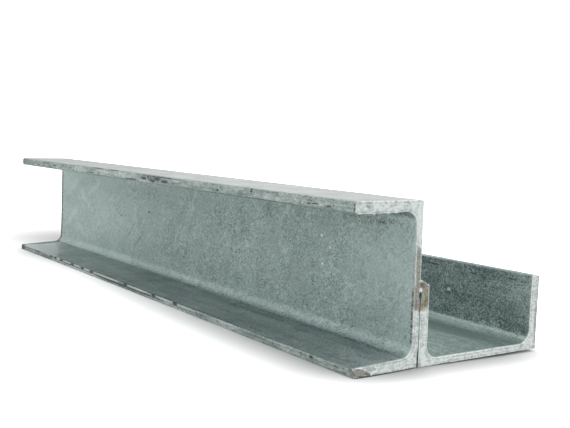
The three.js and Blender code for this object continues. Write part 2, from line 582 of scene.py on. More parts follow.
    def _relief(self, points: np.ndarray, toe: np.ndarray) -> np.ndarray:
        """Adds up the skin's mean depth, its slow waves, its lumps and the rough toes.

        Args:
            points: places, one row each.
            toe: 1 for each place on a toe, fading to 0 beside it.

        Returns:
            How far each place is sunk.
        """
        waves = (smooth_noise(points, self.wave_size, self.seed) - 0.5) * self.wave
        lumps = (smooth_noise(points, self.lump_size, self.seed + 1) - 0.5) * self.lumps
        long_lumps = smooth_noise(points, self.toe_lumps, self.seed + 2)
        short_lumps = smooth_noise(points, self.toe_grit, self.seed + 3)
        rough = (0.6 * long_lumps + 0.4 * short_lumps) * self.toe_roughness
        return self.sunk + waves + lumps + toe * rough

    def _bent(self, section: np.ndarray) -> np.ndarray:
        """Moves each place off the square section.

        The web's back is lifted by pull times v over the depth, less towards the toes, and the
        upper flange leans out along v by splay times the square of u over the flange's width. The
        lower flange is thinned along v by lean at its toe, and evenly less towards its root, and
        the upper flange is thickened in the same way by swell.

        Args:
            section: the (u, v) of each place.

        Returns:
            The move of each, in the post's frame.
        """
        rolled = self.section
        u, v = section[:, 0], section[:, 1]
        out, up = u / rolled.flange_width, v / rolled.depth
        run = np.clip((u - rolled.root[0]) / (rolled.flange_width - rolled.root[0]), 0, 1)
        inner = np.minimum(np.minimum(v, rolled.depth - v) / rolled.flange, 1)
        change = run * inner * np.where(up > 0.5, self.swell, self.lean)
        moved = np.stack([self.pull * up * (1 - out), self.splay * out ** 2 * (up > 0.5) - change],
                         axis=1)
        return self.lie.lift(np.zeros(len(section)), moved)

    def _cut(self, vertices: np.ndarray) -> np.ndarray:
        """Stretches the post to its slanting cuts, and rests it on the floor.

        The +X end's foot stands out less with each place's height over the flange, and with the
        square of how far it is from the toe.

        Args:
            vertices: places, one row each.

        Returns:
            The same places, moved.
        """
        everywhere, foot, side = self.far_cut
        share = (vertices - self.low) / (self.high - self.low)
        over = everywhere + foot * (1 - share[:, 2]) + side * share[:, 1]
        run, width = self.foot_run
        near = np.clip((vertices[:, 0] - self.high[0]) / run + 1, 0, 1)
        low = np.clip(1 - (vertices[:, 2] - self.low[2]) / (self.section.flange - self.lean), 0, 1)
        across = np.clip(1 - ((vertices[:, 1] - self.low[1]) / width) ** 2, 0, 1)
        cut = vertices.copy()
        cut[:, 0] += self.near_foot * near * low * across - over * (1 - share[:, 0])
        cut[:, 2] = np.maximum(cut[:, 2], self.low[2] + self.clearance)
        return cut

    def _inner_faces(self, section: np.ndarray) -> tuple[np.ndarray, np.ndarray]:
        """Masks the inner wall's flanges and roots.

        The turn round a root fillet's centre is 0 at the web and 90 degrees at the flange. The
        flange sets in from 45 degrees on. The root fades up the web.

        Args:
            section: the (u, v) of each place.

        Returns:
            1 for each place on a flange, and 1 for each along a root.
        """
        rolled = self.section
        out = section[:, 0] - rolled.web
        up = np.minimum(section[:, 1], rolled.depth - section[:, 1]) - rolled.flange
        turn = np.degrees(np.arctan2(np.clip(rolled.root_radius - up, 0, None),
                                     np.clip(rolled.root_radius - out, 1e-9, None)))
        inside = (out > -1e-6) & (up > -1 * MM)
        flange = np.clip((turn - 45) / 45, 0, 1) * inside
        # the root mask carries the root fillets' painted sheen
        top = rolled.root_radius + self.root_run
        fade = np.clip((top - up) / (self.root_fade + self.root_run), 0, 1)
        return flange, fade * (1 - flange) * inside

    def _wear_and_painted_shade(self, points: np.ndarray) -> tuple[np.ndarray, np.ndarray, np.ndarray]:
        """Adds up the marks: wear, and painted shadow lines.

        Args:
            points: places, one row each.

        Returns:
            How deep each place lies, and how dark and how pale its ground is.
        """
        depth, dark, pale = np.zeros((3, len(points)))
        for mark in self.marks:
            share = mark.share(points)
            depth += share * mark.depth * MM
            dark = np.maximum(dark, np.sqrt(share) * mark.dark)
            pale = np.maximum(pale, -np.sqrt(share) * mark.dark)
        return depth, dark, pale

    def _caps(self, points: np.ndarray, along: int,
              count: int) -> tuple[np.ndarray, list[np.ndarray], np.ndarray]:
        """Fills both sawn ends with a grid between the inner and the outer wall.

        Each point of the grid is inner + (outer - inner) t, and its border is the end loop's own
        vertices, so the body is closed.

        Args:
            points: the tube's vertices, loop by loop.
            along: how many loops there are.
            count: how many vertices each loop has.

        Returns:
            The points within the borders, the faces, and how near the border each point is.
        """
        through = self.section.through_steps
        wall = (count - 2 * through) // 2 + 1
        number = np.arange(count)
        inner, outer = number[:wall], number[wall + through - 1:2 * wall + through - 1][::-1]
        share = np.arange(1, through) / through
        made, faces, near = [], [], []
        for end, first in enumerate((0, (along - 1) * count)):
            start, stop = points[first + inner[1:-1]], points[first + outer[1:-1]]
            fill = start[:, None] + (stop - start)[:, None] * share[:, None]
            rows, columns = fill.shape[:2]
            grid = np.empty((wall, through + 1), int)
            grid[:, 0], grid[:, -1] = first + inner, first + outer
            grid[-1, 1:-1] = first + number[wall:wall + through - 1]
            grid[0, 1:-1] = first + number[2 * wall + through - 1:][::-1]
            offset = along * count + end * rows * columns
            grid[1:-1, 1:-1] = offset + np.arange(rows * columns).reshape(rows, columns)
            made.append(fill.reshape(-1, 3))
            faces.append(grid_quads(grid, flip=end == 1))
            thickness = np.linalg.norm(stop - start, axis=1)[:, None]
            edge = 1 - thickness * np.minimum(share, 1 - share) / (3 * self.rim)
            near.append(np.clip(edge, 0, 1).ravel())
        return np.concatenate(made), faces, np.concatenate(near)

    def _knock_corner(self, vertices: np.ndarray) -> tuple[np.ndarray, np.ndarray]:
        """Moves what lies outside the chip's plane straight onto it, with a rough ground.

        Args:
            vertices: places, one row each.

        Returns:
            The places, and for each 1 on the chip, falling to 0 just outside its edge.
        """
        along, across, up = self.chip
        corner = np.array((self.high[0], self.low[1], self.low[2]))
        ends = corner + np.array(((-along, 0, 0), (0, across, 0), (0, 0, up)))
        normal = np.cross(ends[1] - ends[0], ends[2] - ends[0])
        normal /= np.linalg.norm(normal)
        if normal @ (corner - ends[0]) < 0:
            normal = -normal
        height = (vertices - ends[0]) @ normal
        outside = np.clip(height, 0, None)
        rough = smooth_noise(vertices, self.chip_grit, self.seed + 7) * self.chip_roughness
        chipped = vertices - np.outer(outside + np.where(outside > 0, rough, 0), normal)
        return chipped, np.clip(1 + height / self.chip_edge, 0, 1)


@dataclass
class ToeWeld:
    """A fillet bead in the corner between the standing channel's back and the lying toe."""

    node: str
    bury: float = 0.4 * MM          # how far the bead reaches into both pieces
    crown: float = 0.5 * MM
    ripple_pitch: float = 2.9 * MM
    ripple: float = 0.14            # depth of a ripple, as a share of the bead
    ripple_power: float = 0.7       # below 1, the crests are sharper than the valleys
    lag: float = 2.2 * MM           # how far a ripple's edges trail behind its middle
    wander: float = 0.1             # how much the bead's size wanders
    wander_size: float = 9 * MM
    taper: float = 7 * MM
    end_share: float = 0.35
    closing: Pair = (0.5, 0.02)     # sizes of the rings that draw an end in
    seed: int = 21
    face_steps: int = 14
    spacing: float = 0.4 * MM

    def build(self) -> bpy.types.Object:
        """Carries the bead's section along the corner.

        The face is a straight line between the legs, bulged out by crown sin(pi t) with t from 0
        to 1 along it. It shrinks by the ripples, which lag towards its edges, and at a free end.

        Returns:
            The bead's object.
        """
        low, high = (np.array(corner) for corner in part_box(self.node))
        steps = int(round((high[0] - low[0]) / self.spacing))
        x = np.linspace(low[0], high[0], steps + 1)
        turn = np.linspace(0, 1, self.face_steps + 1)
        leg, rise = high[1] - low[1], high[2] - low[2]
        face = np.stack([leg * (1 - turn), rise * turn], axis=1)
        bulge = self.crown * np.sin(math.pi * turn)
        slope = np.array((rise, leg)) / math.hypot(leg, rise)
        share = self._share(x, turn)
        grid = (face + bulge[:, None] * slope)[None] * share[..., None]
        foot = np.array(((-self.bury, rise), (-self.bury, -self.bury), (leg, -self.bury)))
        foot = np.broadcast_to(foot, (len(x), 3, 2)).copy()
        foot[:, 0, 1] = grid[:, -1, 1]
        foot[:, 2, 0] = grid[:, 0, 0]
        loop = np.concatenate([grid, foot], axis=1)[:, ::-1]
        points = np.empty(loop.shape[:2] + (3,))
        points[..., 0] = x[:, None]
        points[..., 1:] = loop + (low[1], low[2])
        points = self._close(points)
        rings = points.shape[:2]
        return make_piece(self.node + "_bead", points.reshape(-1, 3), tube_quads(*rings), {},
                          tube_ends(*rings))

    def _share(self, x: np.ndarray, turn: np.ndarray) -> np.ndarray:
        """Works out the bead's size, as a share of the full section.

        Args:
            x: the stations along the post.
            turn: the places over the face, from 0 to 1.

        Returns:
            The share at each station and place.
        """
        start, end, along = x[0], x[-1], x[:, None]
        phase = (along - start + self.lag * (2 * turn - 1) ** 2) / self.ripple_pitch
        ripple = 1 - self.ripple * np.abs(np.sin(math.pi * phase)) ** self.ripple_power
        off = np.full_like(along, self.taper)
        if start > CAD_BOX[0].x + MM:
            off = np.minimum(off, along - start)
        if end < CAD_BOX[1].x - MM:
            off = np.minimum(off, end - along)
        run_out = np.sqrt(np.clip(1 - (1 - off / self.taper) ** 2, 0, 1))
        size = self.end_share + (1 - self.end_share) * run_out
        line = np.stack([x, 0 * x, 0 * x], axis=1)
        noise = smooth_noise(line, self.wander_size, self.seed)[:, None]
        return ripple * size * (1 - self.wander + self.wander * noise)

    def _close(self, points: np.ndarray) -> np.ndarray:
        """Draws both ends in to a small ring round the section's middle, which a face closes.

        Args:
            points: the bead's rings.

        Returns:
            The rings with some more at each end.
        """
        rings = []
        for ring in (points[0], points[-1]):
            centre = ring.mean(axis=0)
            rings.append([centre + (ring - centre) * scale for scale in self.closing])
        first, last = rings
        return np.concatenate([first[::-1], points, last])


@dataclass
class SeamZinc:
    """Zinc that froze across the narrow seam between the two channels at the ends of the post."""

    strips: Sequence[Place] = (     # in millimetres: from this height to that one, and recess
        (0.4, 12, 1.5), (12, 33, 0.35), (33, 39.6, 0.7), (45.4, 50.4, 0.08))
    length: float = 6 * MM
    bury: float = 0.35 * MM         # how far a strip reaches into both channels
    closing: Pair = (0.05, 0.6)     # sizes of the rings that draw an end in
    face_steps: int = 8
    rows: int = 40

    def build(self) -> bpy.types.Object:
        """Fills both ends of the seam with a flat strip for each height and recess.

        Returns:
            The strips as one object.
        """
        vertices, faces, ends = [], [], []
        for side in (-1, 1):
            for strip in self.strips:
                points = self._strip(side, *(size * MM for size in strip))
                rings, first = points.shape[:2], sum(map(len, vertices))
                faces.append(tube_quads(*rings)[:, ::-1] + first)
                ends += [[first + number for number in end[::-1]] for end in tube_ends(*rings)]
                vertices.append(points.reshape(-1, 3))
        return make_piece("seam_zinc", np.concatenate(vertices), np.concatenate(faces), {}, ends)

    def _strip(self, side: int, low: float, high: float, recess: float) -> np.ndarray:
        """Draws an upright tube with a rounded front.

        Args:
            side: 1 for the +X end, and -1 for the other one.
            low: its lowest place.
            high: its highest place.
            recess: how far its front's middle lies behind the sawn end. Its edges lie twice as far.

        Returns:
            Its rings, drawn in at both ends.
        """
        gap_start, gap_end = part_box(STANDING)[1].y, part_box(LYING)[0].y
        middle, half = (gap_start + gap_end) / 2, (gap_end - gap_start) / 2 + self.bury
        front = side * (CAD_BOX[1].x - recess)
        back = side * (CAD_BOX[1].x - self.length)
        turn = np.radians(np.linspace(-90, 90, self.face_steps + 1))
        face = np.stack([front - side * recess * (1 - np.cos(turn)), middle + half * np.sin(turn)],
                        axis=1)
        loop = np.concatenate([face, [(back, middle + half), (back, middle - half)]])
        if side < 0:
            loop = loop[::-1]
        z = np.linspace(low, high, self.rows)
        full = np.ones(self.rows - 2 * len(self.closing))
        scale = np.concatenate([self.closing, full, self.closing[::-1]])
        centre = loop.mean(axis=0)
        rings = centre + (loop - centre)[None] * scale[:, None, None]
        height = np.broadcast_to(z[:, None, None], rings.shape[:2] + (1,))
        return np.concatenate([rings, height], axis=2)


# ---------------------------------------------------------------------------------------------
# Finishes
# ---------------------------------------------------------------------------------------------

Socket = bpy.types.NodeSocket
Level = Union[float, Socket]


@dataclass(frozen=True)
class Patch:
    """A place where the finish differs: an ellipsoid in millimetres, turned by degrees."""

    centre: Place
    reach: Place
    strength: float = 1.0
    core: float = 0.0               # how much of its reach has the full strength
    turn: Place = (0.0, 0.0, 0.0)


@dataclass(frozen=True)
class Face:
    """A flat side of the post that patches are laid on, in millimetres.

    A place on it is given along its own two axes: those of X, Y and Z that it doesn't look along,
    in that order.
    """

    axis: int                       # the axis that it looks along: 0, 1 or 2
    level: float                    # where it lies on that axis
    deep: float                     # how far its patches reach off it

    def patch(self, first: float, second: float, wide: float, high: float, strength: float = 1.0,
              core: float = 0.0, tilt: float = 0.0, deep: Optional[float] = None) -> Patch:
        """Lays a patch on the face.

        Args:
            first: its middle on the face's first axis.
            second: its middle on the second one.
            wide: its reach along the first axis.
            high: its reach along the second one.
            strength: how strong it is.
            core: how much of its reach has the full strength.
            tilt: how far it is turned round the axis that the face looks along, in degrees.
            deep: its reach off the face, where that isn't the face's own.

        Returns:
            The patch.
        """
        centre, reach, turn = [first, second], [wide, high], [0.0, 0.0]
        centre.insert(self.axis, self.level)
        reach.insert(self.axis, self.deep if deep is None else deep)
        turn.insert(self.axis, tilt)
        return Patch(tuple(centre), tuple(reach), strength, core, tuple(turn))


@dataclass(frozen=True)
class Stain:
    """Patches of two hues in a fine mottle, with ragged edges and gaps."""

    first: Colour
    second: Colour
    patches: Sequence[Patch]
    mottle: float = 1.3 * MM
    ragged: float = 0.9
    cover: float = 1.0


class Graph:
    """Short calls for a node tree. Each gives back the new node's output."""

    def __init__(self, tree: bpy.types.NodeTree) -> None:
        """Empties the tree."""
        self.tree = tree
        tree.nodes.clear()

    def add(self, kind: str, inputs: dict, **settings: object) -> bpy.types.Node:
        """Adds a node.

        Args:
            kind: the node's Blender name.
            inputs: a constant or an output for each input, by its name or number.
            settings: the node's own properties.

        Returns:
            The node.
        """
        node = self.tree.nodes.new(kind)
        for name, value in settings.items():
            setattr(node, name, value)
        for name, value in inputs.items():
            if isinstance(value, bpy.types.NodeSocket):
                self.tree.links.new(value, node.inputs[name])
            elif isinstance(value, tuple) and node.inputs[name].type == "RGBA":
                node.inputs[name].default_value = (*value, 1.0)
            else:
                node.inputs[name].default_value = value
        return node

    def place(self) -> Socket:
        """The point's place in the post's frame."""
        return self.add("ShaderNodeTexCoord", {}).outputs["Object"]

    def attribute(self, name: str) -> Socket:
        """A number kept on the mesh."""
        return self.add("ShaderNodeAttribute", {}, attribute_name=name).outputs["Fac"]

    def seen(self) -> tuple[Socket, Socket]:
        """Tells the rays apart.

        Returns:
            1 for a ray from the camera, and 1 for one that a shiny or clear surface sends on.
        """
        path = self.add("ShaderNodeLightPath", {})
        mirrored = self.calc("MAXIMUM", path.outputs["Is Glossy Ray"],
                             path.outputs["Is Transmission Ray"])
        return path.outputs["Is Camera Ray"], mirrored

    def stretch(self, place: Socket, scale: Place, turn: Place = (0.0, 0.0, 0.0)) -> Socket:
        """Turns and then scales the place, before a pattern reads it.

        Args:
            place: the place.
            scale: how much longer the pattern gets along each axis.
            turn: how far it is turned round each axis, in degrees.

        Returns:
            The changed place.
        """
        return self.add("ShaderNodeMapping", {
            "Vector": place, "Scale": tuple(1 / part for part in scale),
            "Rotation": tuple(math.radians(angle) for angle in turn),
        }, vector_type="TEXTURE").outputs["Vector"]

    def noise(self, place: Socket, size: float, detail: float = 2.0, roughness: float = 0.5,
              distortion: float = 0.0) -> Socket:
        """Adds a cloudy noise.

        Args:
            place: where it is read.
            size: how large its clouds are, in metres.
            detail: how many finer layers it has.
            roughness: how strong each finer layer is.
            distortion: how bent the clouds are.

        Returns:
            A level from 0 to 1.
        """
        return self.add("ShaderNodeTexNoise", {
            "Vector": place, "Scale": 1 / size, "Detail": detail, "Roughness": roughness,
            "Distortion": distortion,
        }).outputs["Fac"]

    def cells(self, place: Socket, size: float) -> Socket:
        """A random level from 0 to 1 for each cell of a given size, with sharp borders."""
        cells = self.add("ShaderNodeTexVoronoi", {"Vector": place, "Scale": 1 / size})
        return self.add("ShaderNodeSeparateColor", {"Color": cells.outputs["Color"]}).outputs[0]

    def flecks(self, place: Socket, size: float, keep: float, reach: float) -> Socket:
        """Scatters round specks over cells.

        Args:
            place: where they are read.
            size: how large the cells are, in metres.
            keep: the share of the cells that hold a speck.
            reach: how large a speck is, as a share of its cell.

        Returns:
            1 within a speck, easing to 0 outside.
        """
        cells = self.add("ShaderNodeTexVoronoi", {"Vector": place, "Scale": 1 / size})
        level = self.add("ShaderNodeSeparateColor", {"Color": cells.outputs["Color"]}).outputs[0]
        chosen = self.ramp(level, 1 - keep - 0.02, 1 - keep)
        return self.times(chosen, self.ramp(cells.outputs["Distance"], reach, reach * 0.4))

    def ramp(self, value: Level, start: float, end: float, low: float = 0.0,
             high: float = 1.0) -> Socket:
        """Eases from one level to another.

        Args:
            value: what it goes by.
            start: the value at which it sets in.
            end: the value at which it is done.
            low: the level up to start.
            high: the level from end on.

        Returns:
            The level.
        """
        return self.add("ShaderNodeMapRange", {
            "Value": value, "From Min": start, "From Max": end, "To Min": low, "To Max": high,
        }, interpolation_type="SMOOTHSTEP").outputs[0]

    def calc(self, how: str, *values: Level) -> Socket:
        """A sum, product or other arithmetic of one to three values."""
        return self.add("ShaderNodeMath", dict(enumerate(values)), operation=how).outputs[0]

    def times(self, *values: Level) -> Level:
        """The product of all values."""
        return reduce(partial(self.calc, "MULTIPLY"), values)

    def total(self, *values: Level) -> Level:
        """The sum of all values."""
        return reduce(partial(self.calc, "ADD"), values)

    def inverse(self, value: Level) -> Socket:
        """One less the value."""
        return self.calc("SUBTRACT", 1.0, value)

    def sway(self, value: Level, amount: float) -> Socket:
        """A noise from 0 to 1 turned into a swing of twice the amount round 0."""
        return self.calc("MULTIPLY_ADD", value, 2 * amount, -amount)

    def blend(self, share: Level, first: Union[Colour, Socket],
              second: Union[Colour, Socket]) -> Socket:
        """A colour between two."""
        return self.add("ShaderNodeMix", {0: share, 6: first, 7: second},
                        data_type="RGBA").outputs[2]

    def spot(self, place: Socket, patch: Patch) -> Socket:
        """Draws a patch.

        Args:
            place: where it is read.
            patch: the patch.

        Returns:
            Its strength within its core, easing to 0 at its reach.
        """
        moved = self.add("ShaderNodeMapping", {
            "Vector": place,
            "Location": tuple(part * MM for part in patch.centre),
            "Scale": tuple(part * MM for part in patch.reach),
            "Rotation": tuple(math.radians(angle) for angle in patch.turn),
        }, vector_type="TEXTURE").outputs["Vector"]
        near = self.add("ShaderNodeTexGradient", {"Vector": moved},
                        gradient_type="SPHERICAL").outputs["Fac"]
        return self.ramp(near, 0.0, 1 - patch.core, 0.0, patch.strength)

    def spots(self, place: Socket, patches: Sequence[Patch]) -> Level:
        """The sum of several patches."""
        return self.total(0.0, *(self.spot(place, patch) for patch in patches))


@dataclass(frozen=True)
class ChannelZinc:
    """Weathered hot-dip zinc on a rolled channel, with pale sawn ends and a few rust stains.

    shades are patches that make the faces darker, or lighter where they are positive; some are
    painted shade and painted light. Every method that draws a layer is given the node tree g
    and the place in the post's frame.
    """

    name: str
    dark: Colour = srgb(92, 115, 113)
    light: Colour = srgb(192, 210, 205)
    flange_dark: Colour = srgb(104, 120, 121)
    flange_light: Colour = srgb(184, 199, 197)
    # the highest faces' white bloom; its colours also paint the light that falls on them from above
    bloom_and_top_light: Colour = srgb(186, 189, 187)
    bloom_and_top_light_dark: Colour = srgb(146, 154, 151)
    pale: Colour = srgb(222, 228, 225)
    soot_and_painted_shade: Colour = srgb(50, 62, 59)
    toe_pale: Colour = srgb(196, 208, 203)
    toe_grey: Colour = srgb(112, 130, 126)
    end_pale: Colour = srgb(218, 225, 222)
    end_grey: Colour = srgb(150, 160, 156)
    chip_dark: Colour = srgb(128, 140, 135)
    chip_pale: Colour = srgb(176, 186, 181)
    core: Colour = srgb(120, 158, 164)
    metallic: float = 0.55
    roughness: float = 0.5
    grain_size: float = 0.8 * MM
    tone: float = 0.59              # the web's mean, from dark to light
    clouds: float = 0.15            # how far slow clouds sway it
    cloud_size: float = 40 * MM
    strokes: Pair = (64, -56)       # degrees from upright of the slanting strokes
    stroke: float = 0.065
    web_grain: float = 0.52
    specks: float = 0.55
    pits: float = -0.5
    streaks: float = 0.5            # lines along the inner faces of the flanges
    web_streaks: float = 0.0        # and along the web
    web_scratches: float = 0.3
    scratches: Sequence[Place] = (  # degrees from upright, size in millimetres, and level
        (58, 8, 1.0), (-48, 10, 0.8), (70, 6, -1.0), (25, 12, -0.7))
    flange_tone: float = 0.42
    flange_flecks: float = 0.6
    flange_worms: float = 0.25
    worm_sizes: Pair = (4.6 * MM, 3.1 * MM)
    flange_grain: float = 0.48
    flange_clouds: float = 0.34
    flange_bands: float = 0.3       # slow bands along the post
    root_sheen: float = 0.2          # how much lighter the root fillets are painted: a painted sheen
    bloom_cover: float = 1.0        # how much of the highest faces the bloom hides
    bloom_tone: float = 0.7
    bloom_lines: float = 0.9
    bloom_blotches: float = 1.0
    bloom_grit: float = 1.6
    toe_lift: float = 0.0
    toe_lines: float = 0.9
    toe_lumps: float = 0.9
    toe_drift: float = 0.5
    toe_grain: float = 0.35
    end_tone: float = 0.78
    end_mottle: float = 1.15
    end_grit: float = 1.3
    end_line: float = 0.35          # how dark the line inside the sawn ends' rim is
    bump: float = 0.6
    bump_height: float = 0.35 * MM
    shades: Sequence[Patch] = ()
    top_painted_shade: Sequence[Patch] = ()
    calm: Sequence[Patch] = ()      # where the grain is weaker
    stains: Sequence[Stain] = ()

    def material(self) -> bpy.types.Material:
        """Builds the finish, layer by layer: the faces, the toes, the ends, stains and marks.

        Returns:
            The material.
        """
        material = bpy.data.materials.new(self.name)
        material.use_nodes = True
        g = Graph(material.node_tree)
        place = g.place()
        sawn, toe, root, flange, top, rim = (g.attribute(key) for key in (
            "sawn", "toe", "root", "flange", "top", "rim"))

        grain = self._grain(g, place)
        border = g.sway(g.noise(place, 2.4 * MM, 3, 0.7), 0.25)
        # painted shade on the flanges next to the root fillets
        root_corner_shade = g.times(g.ramp(flange, 1.0, 0.6), -0.05)
        flange = g.times(g.ramp(g.total(flange, border), 0.32, 0.42), g.ramp(flange, 0.0, 0.05))
        grit = g.inverse(g.calc("MINIMUM", g.spots(place, self.calm), 0.9))
        lines = g.sway(g.noise(g.stretch(place, (0.04, 1.0, 1.0)), 2.4 * MM, 4, 0.6), 1.0)
        # the shades hold painted shade and painted light, and the root adds a painted sheen
        shift = g.spots(place, self.shades)
        web = g.total(self._tone(g, place, grain, grit), shift, g.times(root, self.root_sheen),
                      g.times(lines, self.web_streaks))
        colour = g.blend(web, self.dark, self.light)
        inner = g.total(self._flange_tone(g, place, grain), shift, root_corner_shade,
                        g.times(lines, self.streaks))
        colour = g.blend(flange, colour, g.blend(inner, self.flange_dark, self.flange_light))
        colour = self._lay_bloom_and_top_light(g, place, colour, top)
        colour = self._toes(g, place, colour, toe, grain)
        colour = self._ends(g, place, colour, sawn, rim)
        colour = self._stains(g, place, colour)
        colour = self._marks(g, place, colour)
        rough = g.total(self.roughness, g.sway(g.noise(place, 9 * MM, 3), 0.12),
                        g.times(grain, 0.08))
        surface = g.add("ShaderNodeBsdfPrincipled", {
            "Base Color": colour, "Metallic": self.metallic, "Roughness": rough,
            "Normal": self._bump(g, place, grain, toe, sawn),
        })
        g.add("ShaderNodeOutputMaterial", {"Surface": surface.outputs[0]})
        return material

    def _grain(self, g: Graph, place: Socket) -> Socket:
        """Draws the zinc's sharp fine grain: two sizes of cells with a little cloudy noise.

        Args:
            g: the node tree.
            place: the place.

        Returns:
            A level from 0 to 0.9.
        """
        return g.total(g.times(g.cells(place, self.grain_size), 0.65),
                       g.times(g.cells(g.stretch(place, (0.5, 1, 1)), 1.3 * MM), 0.1),
                       g.times(g.noise(g.stretch(place, (0.6, 1, 1)), 1.5 * MM, 3, 0.7), 0.15))

    def _tone(self, g: Graph, place: Socket, grain: Socket, grit: Socket) -> Socket:
        """Draws the web's light and dark: slow clouds, slanting strokes and the grain.

        Args:
            g: the node tree.
            place: the place.
            grain: the zinc's grain.
            grit: how strong the fine part is.

        Returns:
            A level from dark to light.
        """
        clouds = g.noise(g.stretch(place, (0.6, 1.0, 1.0)), self.cloud_size, 3, 0.55)
        left, right = (g.noise(g.stretch(place, (1.0, 1.0, 0.3), (0, turn, 0)), 4.5 * MM, 3, 0.6,
                               0.6) for turn in self.strokes)
        patches = g.noise(g.stretch(place, (0.6, 1.0, 1.0)), 20 * MM, 2, 0.5, 0.4)
        patches = g.ramp(patches, 0.36, 0.62, 0.6, 1.0)
        specks = g.flecks(place, 4.2 * MM, 0.2, 0.13)
        pits = g.flecks(g.stretch(place, (1, 1, 1), (0, 0, 33)), 5 * MM, 0.2, 0.12)
        fine = g.total(g.times(g.sway(grain, self.web_grain), patches),
                       g.times(specks, self.specks), g.times(pits, self.pits),
                       g.sway(left, self.stroke), g.sway(right, self.stroke),
                       g.times(self._scratches(g, place), self.web_scratches))
        return g.total(self.tone, g.sway(clouds, self.clouds), g.times(fine, grit))

    def _scratches(self, g: Graph, place: Socket) -> Level:
        """Draws thin bent lines, pale and dark: where a stretched noise crosses its middle.

        Args:
            g: the node tree.
            place: the place.

        Returns:
            A level that is positive on the pale lines and negative on the dark ones.
        """
        lines = []
        for turn, size, level in self.scratches:
            stretched = g.stretch(place, (1.0, 1.0, 0.4), (0, turn, 0))
            drawn = g.noise(stretched, size * MM, 2, 0.5, 1.2)
            shown = g.ramp(g.noise(place, (size + 14) * MM, 2), 0.42, 0.6)
            line = g.ramp(g.calc("ABSOLUTE", g.sway(drawn, 1.0)), 0.07, 0.0)
            lines.append(g.times(line, shown, level))
        return g.total(*lines)

    def _flange_tone(self, g: Graph, place: Socket, grain: Socket) -> Socket:
        """Draws the flanges' inner faces: smoother, with flecks where they are pitted.

        Args:
            g: the node tree.
            place: the place.
            grain: the zinc's grain.

        Returns:
            A level from dark to light.
        """
        clouds = g.noise(place, 34 * MM, 3, 0.55)
        flecks = g.total(g.flecks(place, 1.7 * MM, 0.34, 0.4), g.flecks(place, 4.4 * MM, 0.2, 0.16))
        waves = (g.sway(g.noise(place, size, 2, 0.5, 1.3), 1.0) for size in self.worm_sizes)
        worms = g.total(*(g.ramp(g.calc("ABSOLUTE", wave), 0.1, 0.02) for wave in waves))
        bands = g.noise(g.stretch(place, (0.1, 1.0, 1.0)), 9 * MM, 2)
        hollows = g.ramp(g.noise(place, 2.0 * MM, 3, 0.7, 0.8), 0.46, 0.36)
        bits = g.total(g.times(flecks, self.flange_flecks), g.times(worms, self.flange_worms),
                       g.times(hollows, -0.1))
        bits = g.times(bits, g.ramp(g.noise(place, 13 * MM, 2), 0.42, 0.6, 0.15, 1.0))
        return g.total(self.flange_tone, g.sway(clouds, self.flange_clouds),
                       g.sway(bands, self.flange_bands), g.sway(grain, self.flange_grain), bits)

    def _lay_bloom_and_top_light(self, g: Graph, place: Socket, colour: Socket, top: Socket) -> Socket:
        """Lays a dull white bloom and painted top light on the highest faces, rubbed in lines along
        the post.

        Args:
            g: the node tree.
            place: the place.
            colour: the colour so far.
            top: 1 on the highest faces.

        Returns:
            The new colour.
        """
        lines = g.noise(g.stretch(place, (0.06, 1.0, 1.0)), 4 * MM, 3, 0.6)
        blotches = g.noise(place, 22 * MM, 3, 0.6)
        grit = g.noise(place, 1.3 * MM, 3, 0.7)
        # its far part is darkened by painted shade patches
        share = g.total(g.sway(lines, self.bloom_lines), g.sway(blotches, self.bloom_blotches),
                        g.sway(grit, self.bloom_grit), self.bloom_tone,
                        g.spots(place, self.top_painted_shade))
        bloom_and_top_light = g.blend(share, self.bloom_and_top_light_dark, self.bloom_and_top_light)
        return g.blend(g.times(top, self.bloom_cover), colour, bloom_and_top_light)

    def _toes(self, g: Graph, place: Socket, colour: Socket, toe: Socket, grain: Socket) -> Socket:
        """Makes the toes a little paler than the faces, with fine lines along the post.

        Args:
            g: the node tree.
            place: the place.
            colour: the colour so far.
            toe: 1 on the toes.
            grain: the zinc's grain.

        Returns:
            The new colour.
        """
        lines = g.noise(g.stretch(place, (0.05, 1.0, 1.0)), 1.3 * MM, 3, 0.6)
        lumps = g.noise(g.stretch(place, (0.4, 1.0, 1.0)), 2.6 * MM, 3, 0.6)
        drift = g.noise(place, 60 * MM, 2, 0.5)
        tone = g.total(0.5 + self.toe_lift, g.sway(lines, self.toe_lines),
                       g.sway(lumps, self.toe_lumps), g.sway(drift, self.toe_drift),
                       g.sway(grain, self.toe_grain))
        return g.blend(g.ramp(toe, 0.1, 0.7), colour, g.blend(tone, self.toe_grey, self.toe_pale))

    def _ends(self, g: Graph, place: Socket, colour: Socket, sawn: Socket, rim: Socket) -> Socket:
        """Makes the sawn ends pale, with a faint mottle, grey flecks and a line inside the rim.

        Args:
            g: the node tree.
            place: the place.
            colour: the colour so far.
            sawn: 1 on a sawn end.
            rim: 1 at its edge.

        Returns:
            The new colour.
        """
        coarse = g.noise(place, 5 * MM, 4, 0.65, 0.6)
        fine = g.noise(g.stretch(place, (1.0, 0.6, 1.0)), 1.4 * MM, 3, 0.65)
        tone = g.total(self.end_tone, g.sway(coarse, self.end_mottle),
                       g.sway(fine, self.end_grit))
        line = g.times(g.ramp(rim, 0.25, 0.6), g.ramp(rim, 0.95, 0.7), self.end_line)
        face = g.blend(g.calc("SUBTRACT", tone, line), self.end_grey, self.end_pale)
        colour = g.blend(g.times(g.ramp(rim, 0.0, 0.5), 0.35), colour, self.pale)
        return g.blend(g.ramp(sawn, 0.05, 0.5), colour, face)

